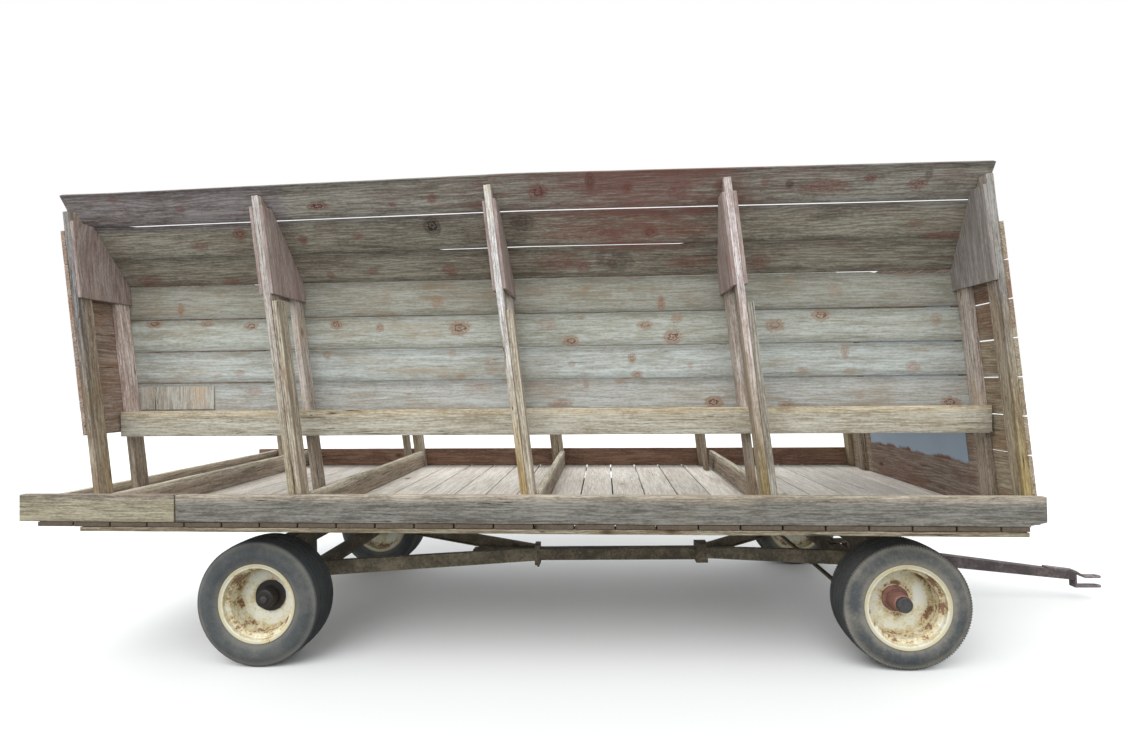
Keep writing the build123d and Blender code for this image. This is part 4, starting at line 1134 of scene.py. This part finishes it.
def tyre_profile(radius, tread, half_width, grooves):
    """A tyre's section: rounded side walls, bead ridges and grooves round its tread."""
    wall, crown_drop, groove_depth = 0.011, 0.004, 0.007
    bead, bead_width, bead_hook = 0.0926, 0.012, 0.021
    lip, seat = 0.2212, 0.2033
    shoulder, inner_radius = radius - 0.005, radius - 0.022
    top = []
    for number in range(grooves):
        centre = -tread + 2 * tread * (number + 1) / (grooves + 1)
        crown = radius - crown_drop * (centre / tread) ** 2 - 0.0002
        top += [(centre - 0.005, crown), (centre - 0.0035, crown - groove_depth)]
        top += [(centre + 0.0035, crown - groove_depth), (centre + 0.005, crown)]

    outer_start, bead_end = (tread + 0.005, shoulder - 0.012), (bead, lip)
    bead_inside, inner_end = (bead - bead_width, 0.2211), (tread - wall, inner_radius)
    bulge = half_width - 0.001 - (outer_start[0] + bead) / 2
    inner_bulge = half_width - 0.012 - (bead_inside[0] + inner_end[0]) / 2
    side = [(tread, shoulder), (tread + 0.004, shoulder - 0.006), outer_start]
    side += arc_points(outer_start, bead_end, bulge, 16)
    side += [bead_end, (bead - 0.0002, seat), (bead - bead_hook, seat), bead_inside]
    side += arc_points(bead_inside, inner_end, inner_bulge, 8)
    side += [inner_end]
    return top + side + [(-out, height) for out, height in reversed(side)]


def wheel_spot(wiring, seed):
    """A wheel's own coordinates, shifted for its noise, and the distance from its axis."""
    spot = wiring.attribute("spot")
    shifted = wiring.vector("ADD", spot, (seed, seed * 2.3, -seed))
    distance = wiring.vector("LENGTH", wiring.vector("MULTIPLY", spot, (1.0, 0.0, 1.0)))
    return shifted, distance


def tyre_material(name, seed, radius, dustiness):
    """Faded rubber with dust in rings round the wall and in patches, and a darker tread."""
    material, wiring = new_material(name)
    wheel = bpy.context.scene.wagon_wheels
    place, distance = wheel_spot(wiring, seed)
    patches = wiring.noise(place, (6.0, 6.0, 6.0), 5.0, 0.65)
    grit = wiring.noise(place, (70.0, 70.0, 70.0), 3.0, 0.6)
    inner = wiring.band(distance, 0.262, 0.225)
    outer = wiring.band(distance, radius - 0.045, radius - 0.015)
    edge = wiring.band(distance, radius - 0.004, radius - 0.012)
    ring = wiring.times(wiring.math("MAXIMUM", inner, outer), edge)
    amount = wiring.plus(wiring.times(ring, 0.30), wiring.times(patches, 0.95))
    amount = wiring.plus(amount, wiring.times(wiring.minus(grit, 0.5), 0.35))
    dusty = wiring.band(amount, 0.25, 0.95, 0.0, dustiness)
    rubber = wiring.mix(dusty, tuple(wheel.rubber), tuple(wheel.dust))
    tread = wiring.band(distance, radius - 0.018, radius - 0.008, 0.0, 0.6)
    wiring.surface({
        "Base Color": wiring.mix(tread, rubber, (0.028, 0.032, 0.035)),
        "Roughness": 0.85,
        "Normal": wiring.bump(grit, 0.25, 0.002),
    })
    return material


class WAGON_OT_tyres(bpy.types.Operator):
    """Fits ribbed rear tyres and lugged front tyres"""

    bl_idname = "wagon.tyres"
    bl_label = "Tyres"

    def execute(self, context):
        wheel = context.scene.wagon_wheels
        # columns: half the tread's width, half the tyre's, grooves, dustiness
        shapes = {"rear": (0.090, 0.112, 4, 0.5), "front": (0.075, 0.100, 3, 0.9)}
        for seed, (axle, name, side) in enumerate(wheel_table):
            where = axle + "_" + name
            *sizes, dustiness = shapes[axle]
            radius = hub_places[axle][2] - tyre_clearance
            place = wheel_place(axle, side)
            material = tyre_material("tyre rubber " + where, seed * 1.7, radius, dustiness)
            profile = tyre_profile(radius, *sizes)
            mesh = turned_mesh("tyre_%s_worn" % where, profile, place, wheel.segments, material)
            add_piece(mesh.name, mesh, material, "wheel_" + where, "tyre", "tyre_" + where)
            if axle == "front":
                lugs = lug_mesh("lugs_" + where, place, radius, wheel.lug_count, material)
                add_piece(lugs.name, lugs, material, "wheel_" + where, "tyre")
        return {"FINISHED"}


def lug_mesh(name, place, radius, count, material):
    """Shoulder lugs repeated round a front tyre."""
    tree = bpy.data.node_groups.get("shoulder lugs") or lug_tree()
    holder = bpy.data.objects.new("lugs", bpy.data.meshes.new("lugs"))
    bpy.context.scene.collection.objects.link(holder)
    modifier = holder.modifiers.new("lugs", "NODES")
    modifier.node_group = tree
    values = {
        "Count": count, "Radius": radius - 0.0125, "Half width": 0.0765,
        "Centre": place.translation, "Turn": place.to_euler(), "Material": material,
    }
    for item in tree.interface.items_tree:
        if item.in_out == "INPUT":
            modifier[item.identifier] = values[item.name]
    bpy.context.view_layer.update()
    evaluated = holder.evaluated_get(bpy.context.evaluated_depsgraph_get())
    mesh = bpy.data.meshes.new_from_object(evaluated)
    mesh.name = name
    holder.modifiers.clear()
    bpy.data.objects.remove(holder)
    return mesh


def lug_tree():
    """Geometry nodes: a block at each step of two circles, one at each shoulder."""
    tree = bpy.data.node_groups.new("shoulder lugs", "GeometryNodeTree")
    sockets = {
        "Count": "Int", "Radius": "Float", "Half width": "Float",
        "Centre": "Vector", "Turn": "Vector", "Material": "Material",
    }
    for socket, kind in sockets.items():
        tree.interface.new_socket(socket, in_out="INPUT", socket_type="NodeSocket" + kind)
    tree.interface.new_socket("Geometry", in_out="OUTPUT", socket_type="NodeSocketGeometry")
    wiring = Wiring(tree)
    given = wiring.node("NodeGroupInput").outputs
    block = wiring.node("GeometryNodeMeshCube", {"Size": (0.0085, 0.016, 0.0145)}).outputs["Mesh"]
    ring = {"Vertices": given["Count"], "Radius": given["Radius"]}
    circle = wiring.node("GeometryNodeMeshCircle", ring, fill_type="NONE").outputs["Mesh"]
    stood = {"Geometry": circle, "Rotation": (pi / 2, 0.0, 0.0)}
    upright = wiring.node("GeometryNodeTransform", stood).outputs["Geometry"]
    position = wiring.node("GeometryNodeInputPosition").outputs[0]
    outwards = wiring.node("FunctionNodeAlignRotationToVector", {"Vector": position}, axis="Z")
    joined = wiring.node("GeometryNodeJoinGeometry")
    for row in (-1, 1):
        skew = wiring.node(
            "FunctionNodeRotateRotation",
            {"Rotation": outwards.outputs["Rotation"], "Rotate By": (0.0, 0.0, row * 0.35)},
            rotation_space="LOCAL",
        ).outputs[0]
        repeated = {"Points": upright, "Instance": block, "Rotation": skew}
        placed = wiring.node("GeometryNodeInstanceOnPoints", repeated).outputs["Instances"]
        out = wiring.times(given["Half width"], float(row))
        shift = wiring.node("ShaderNodeCombineXYZ", {"Y": out}).outputs[0]
        moved = wiring.node("GeometryNodeTransform", {"Geometry": placed, "Translation": shift})
        tree.links.new(moved.outputs["Geometry"], joined.inputs[0])
    real = wiring.node("GeometryNodeRealizeInstances", {"Geometry": joined.outputs[0]})
    kept = wiring.node(
        "GeometryNodeStoreNamedAttribute", {"Geometry": real.outputs["Geometry"], "Name": "spot"},
        data_type="FLOAT_VECTOR",
    )
    value = next(socket for socket in kept.inputs if socket.name == "Value" and socket.enabled)
    wiring.put(value, position)
    fitted = wiring.node(
        "GeometryNodeTransform",
        {"Geometry": kept.outputs[0], "Translation": given["Centre"], "Rotation": given["Turn"]},
    ).outputs["Geometry"]
    finish = {"Geometry": fitted, "Material": given["Material"]}
    painted = wiring.node("GeometryNodeSetMaterial", finish).outputs[0]
    wiring.put(wiring.node("NodeGroupOutput").inputs["Geometry"], painted)
    return tree


def rim_profile():
    """A drop-centre rim with a rolled flange and a stepped, dished disc."""
    return [
        (0.0975, 0.2130), (0.0980, 0.2180), (0.0960, 0.2205), (0.0935, 0.2200), (0.0930, 0.2160),
        (0.0930, 0.2030), (0.0720, 0.2030), (0.0620, 0.1830), (0.0, 0.1830), (-0.010, 0.2030),
        (-0.0930, 0.2030), (-0.0930, 0.2205), (-0.0980, 0.2205), (-0.0980, 0.1980), (-0.0500, 0.1978),
        (-0.0460, 0.1750), (-0.0400, 0.1500), (-0.0420, 0.1000), (-0.0480, 0.0900), (-0.0480, 0.0680),
        (-0.0420, 0.0680), (-0.0420, 0.0890), (-0.0360, 0.0990), (-0.0340, 0.1500), (-0.0390, 0.1740),
        (-0.0360, 0.1900), (-0.0260, 0.1975), (-0.0080, 0.1975), (0.0020, 0.1775), (0.0600, 0.1775),
        (0.0700, 0.1975), (0.0930, 0.1975), (0.0950, 0.2060),
    ]


def rim_material(name, seed):
    """Cream paint, chalked and rusting in patches and rings."""
    material, wiring = new_material(name)
    wheel = bpy.context.scene.wagon_wheels
    place, distance = wheel_spot(wiring, seed)
    broad = wiring.noise(place, (11.0, 11.0, 11.0), 5.0, 0.7)
    fine = wiring.noise(place, (75.0, 75.0, 75.0), 4.0, 0.65)
    seam = wiring.times(wiring.band(distance, 0.150, 0.180), wiring.band(distance, 0.205, 0.190))
    middle = wiring.band(distance, 0.110, 0.080)
    worn = wiring.times(wiring.math("MAXIMUM", seam, middle), 0.12)
    level = wiring.plus(wiring.blend(broad, fine, 0.65), worn)
    chalk = wiring.mix(wiring.band(broad, 0.35, 0.6), (0.80, 0.80, 0.72), tuple(wheel.cream))
    chalk = wiring.mix(wiring.band(distance, 0.198, 0.212, 0.0, 0.8), chalk, (0.56, 0.49, 0.31))
    stain = wiring.mix(wiring.band(level, 0.48, 0.62), chalk, (0.64, 0.54, 0.32))
    wiring.surface({
        "Base Color": wiring.mix(wiring.band(level, 0.61, 0.68), stain, (0.24, 0.13, 0.075)),
        "Roughness": 0.6,
        "Normal": wiring.bump(level, 0.3, 0.002),
    })
    return material


def hub_profiles(radius, inner_end, barrel_end, cap_radius, cap_end, flange):
    """The sections of a hub's barrel with its flange, and of its cap."""
    disc_face, flange_face = -0.0415, -0.0325
    barrel = [
        (inner_end, 0.0), (inner_end, radius), (disc_face, radius), (disc_face, 0.0672),
        (disc_face, flange), (flange_face, flange), (flange_face + 0.001, radius + 0.004),
        (barrel_end - 0.020, radius), (barrel_end - 0.006, radius - 0.002),
        (barrel_end - 0.001, radius - 0.007), (barrel_end, radius - 0.012), (barrel_end, 0.0),
    ]
    cap = [
        (barrel_end - 0.001, 0.0), (barrel_end - 0.001, cap_radius - 0.001),
        (barrel_end + 0.004, cap_radius), (cap_end - 0.006, cap_radius - 0.001),
        (cap_end - 0.002, cap_radius - 0.005), (cap_end, cap_radius * 0.5), (cap_end, 0.0),
    ]
    return barrel, cap


class WAGON_OT_rims(bpy.types.Operator):
    """Fits the dished cream rims and the hubs"""

    bl_idname = "wagon.rims"
    bl_label = "Rims and hubs"

    def execute(self, context):
        wheel = context.scene.wagon_wheels
        red = rust_material("hub red", (0.15, 0.065, 0.05), (0.33, 0.17, 0.14), 0.55)
        dark = rust_material("hub grease", (0.018, 0.014, 0.013), (0.06, 0.042, 0.036), 0.4, 0.55)
        iron = rust_material("cap iron", (0.03, 0.028, 0.03), (0.08, 0.075, 0.075), roughness=0.6)
        # columns: barrel radius, its inner end, its outer end, cap radius, cap end, flange radius
        hubs = {
            "rear": (0.054, -0.0635, 0.028, 0.022, 0.040, 0.0875),
            "front": (0.047, -0.0555, 0.048, 0.041, 0.070, 0.0685),
        }
        for seed, (axle, name, side) in enumerate(wheel_table):
            where = axle + "_" + name
            body = "wheel_" + where
            place = wheel_place(axle, side)
            paint = rim_material("rim paint " + where, seed * 2.1 + 0.4)
            mesh = turned_mesh("rim_%s_worn" % where, rim_profile(), place, wheel.segments, paint)
            add_piece(mesh.name, mesh, paint, body, "rim_paint", "rim_" + where)
            finish = red if axle == "front" else dark
            barrel, cap = hub_profiles(*hubs[axle])
            hub = turned_mesh("hub_%s_worn" % where, barrel, place, wheel.hub_segments, finish)
            add_piece(hub.name, hub, finish, body, "rusty_steel", "hub_" + where)
            lid = turned_mesh("hub_cap_%s" % where, cap, place, wheel.hub_segments, iron)
            add_piece(lid.name, lid, iron, body, "rusty_steel")
        return {"FINISHED"}


class WAGON_OT_stage(bpy.types.Operator):
    """Sets the floor, the light and the camera"""

    bl_idname = "wagon.stage"
    bl_label = "Stage"

    def execute(self, context):
        scene = context.scene
        stage = scene.wagon_stage
        self.lay_floor(scene, stage)
        self.light_sky(scene, stage)

        sun = bpy.data.lights.new("soft sun", "SUN")
        sun.energy = stage.sun_strength
        sun.angle = radians(50)
        lamp = bpy.data.objects.new("soft sun", sun)
        lamp.rotation_euler = (radians(38), radians(-8), radians(-12))
        scene.collection.objects.link(lamp)

        lens = bpy.data.cameras.new("camera")
        lens.sensor_width = sensor_width
        lens.sensor_fit = "HORIZONTAL"
        lens.lens = stage.focal_length
        lens.clip_end = 200.0
        camera = bpy.data.objects.new("camera", lens)
        camera.matrix_world = camera_matrix(stage)
        scene.collection.objects.link(camera)
        scene.camera = camera
        scene.view_settings.view_transform = "Standard"
        return {"FINISHED"}

    def lay_floor(self, scene, stage):
        mesh = bpy.data.meshes.new("floor")
        size = stage.floor_size
        corners = [(-size, -size, 0), (size, -size, 0), (size, size, 0), (-size, size, 0)]
        mesh.from_pydata(corners, [], [(0, 1, 2, 3)])
        floor = bpy.data.objects.new("floor", mesh)
        scene.collection.objects.link(floor)
        material, wiring = new_material("pale floor")
        seen = wiring.node("ShaderNodeLightPath").outputs["Is Camera Ray"]
        color = wiring.mix(seen, (0.30, 0.30, 0.29), tuple(stage.floor_colour))
        wiring.surface({"Base Color": color, "Roughness": 1.0, "Specular IOR Level": 0.0})
        mesh.materials.append(material)

    def light_sky(self, scene, stage):
        """A white sky to the camera, and an even light on everything else."""
        world = bpy.data.worlds.new("soft sky")
        world.use_nodes = True
        scene.world = world
        sky = Wiring(world.node_tree)
        background = world.node_tree.nodes["Background"]
        seen = sky.node("ShaderNodeLightPath").outputs["Is Camera Ray"]
        strength = sky.node("ShaderNodeMix", {0: seen, 2: stage.sky_strength, 3: 1.0}, data_type="FLOAT")
        sky.put(background.inputs["Color"], sky.mix(seen, (0.95, 0.98, 1.0), (1.0, 1.0, 1.0)))
        sky.put(background.inputs["Strength"], strength.outputs[0])


def camera_matrix(stage):
    """The camera's place and turn: yaw, pitch and roll are measured from the deck's frame."""
    cy, sy = cos(stage.yaw), sin(stage.yaw)
    cp, sp = cos(stage.pitch), sin(stage.pitch)
    cr, sr = cos(stage.roll), sin(stage.roll)
    turn = Matrix(((cy, sy, 0), (-sy, cy, 0), (0, 0, 1)))
    tilt = Matrix(((1, 0, 0), (0, cp, sp), (0, -sp, cp)))
    lean = Matrix(((cr, 0, sr), (0, 1, 0), (-sr, 0, cr)))
    right, ahead, up = lean @ tilt @ turn @ Matrix.Rotation(deck_pitch, 3, "Y").transposed()
    axes = Matrix((right, up, -ahead)).transposed()
    return Matrix.Translation(stage.camera_place) @ axes.to_4x4()


class WAGON_PT_panel(bpy.types.Panel):
    """Lists the wagon's pieces"""

    bl_idname = "WAGON_PT_panel"
    bl_label = "Feeder wagon"
    bl_space_type = "VIEW_3D"
    bl_region_type = "UI"
    bl_category = "Wagon"

    def draw(self, context):
        for operator in operators:
            self.layout.operator(operator.bl_idname)


operators = (
    WAGON_OT_deck,
    WAGON_OT_curbs,
    WAGON_OT_posts,
    WAGON_OT_hopper,
    WAGON_OT_running_gear,
    WAGON_OT_tyres,
    WAGON_OT_rims,
    WAGON_OT_stage,
)
settings_groups = {
    "wagon_timber": WagonTimberSettings,
    "wagon_steel": WagonSteelSettings,
    "wagon_wheels": WagonWheelSettings,
    "wagon_stage": WagonStageSettings,
}


def register():
    """Registers the settings, the operators and the panel."""
    for name, settings in settings_groups.items():
        bpy.utils.register_class(settings)
        setattr(bpy.types.Scene, name, PointerProperty(type=settings))
    for operator in operators:
        bpy.utils.register_class(operator)
    bpy.utils.register_class(WAGON_PT_panel)


def unregister():
    """Takes the panel, the operators and the settings out again."""
    bpy.utils.unregister_class(WAGON_PT_panel)
    for operator in reversed(operators):
        bpy.utils.unregister_class(operator)
    for name, settings in settings_groups.items():
        delattr(bpy.types.Scene, name)
        bpy.utils.unregister_class(settings)


def main():
    """Builds every piece and the stage."""
    register()
    bpy.ops.wagon.deck()
    bpy.ops.wagon.curbs()
    bpy.ops.wagon.posts()
    bpy.ops.wagon.hopper()
    bpy.ops.wagon.running_gear()
    bpy.ops.wagon.tyres()
    bpy.ops.wagon.rims()
    bpy.ops.wagon.stage()


if __name__ == "__main__":
    main()
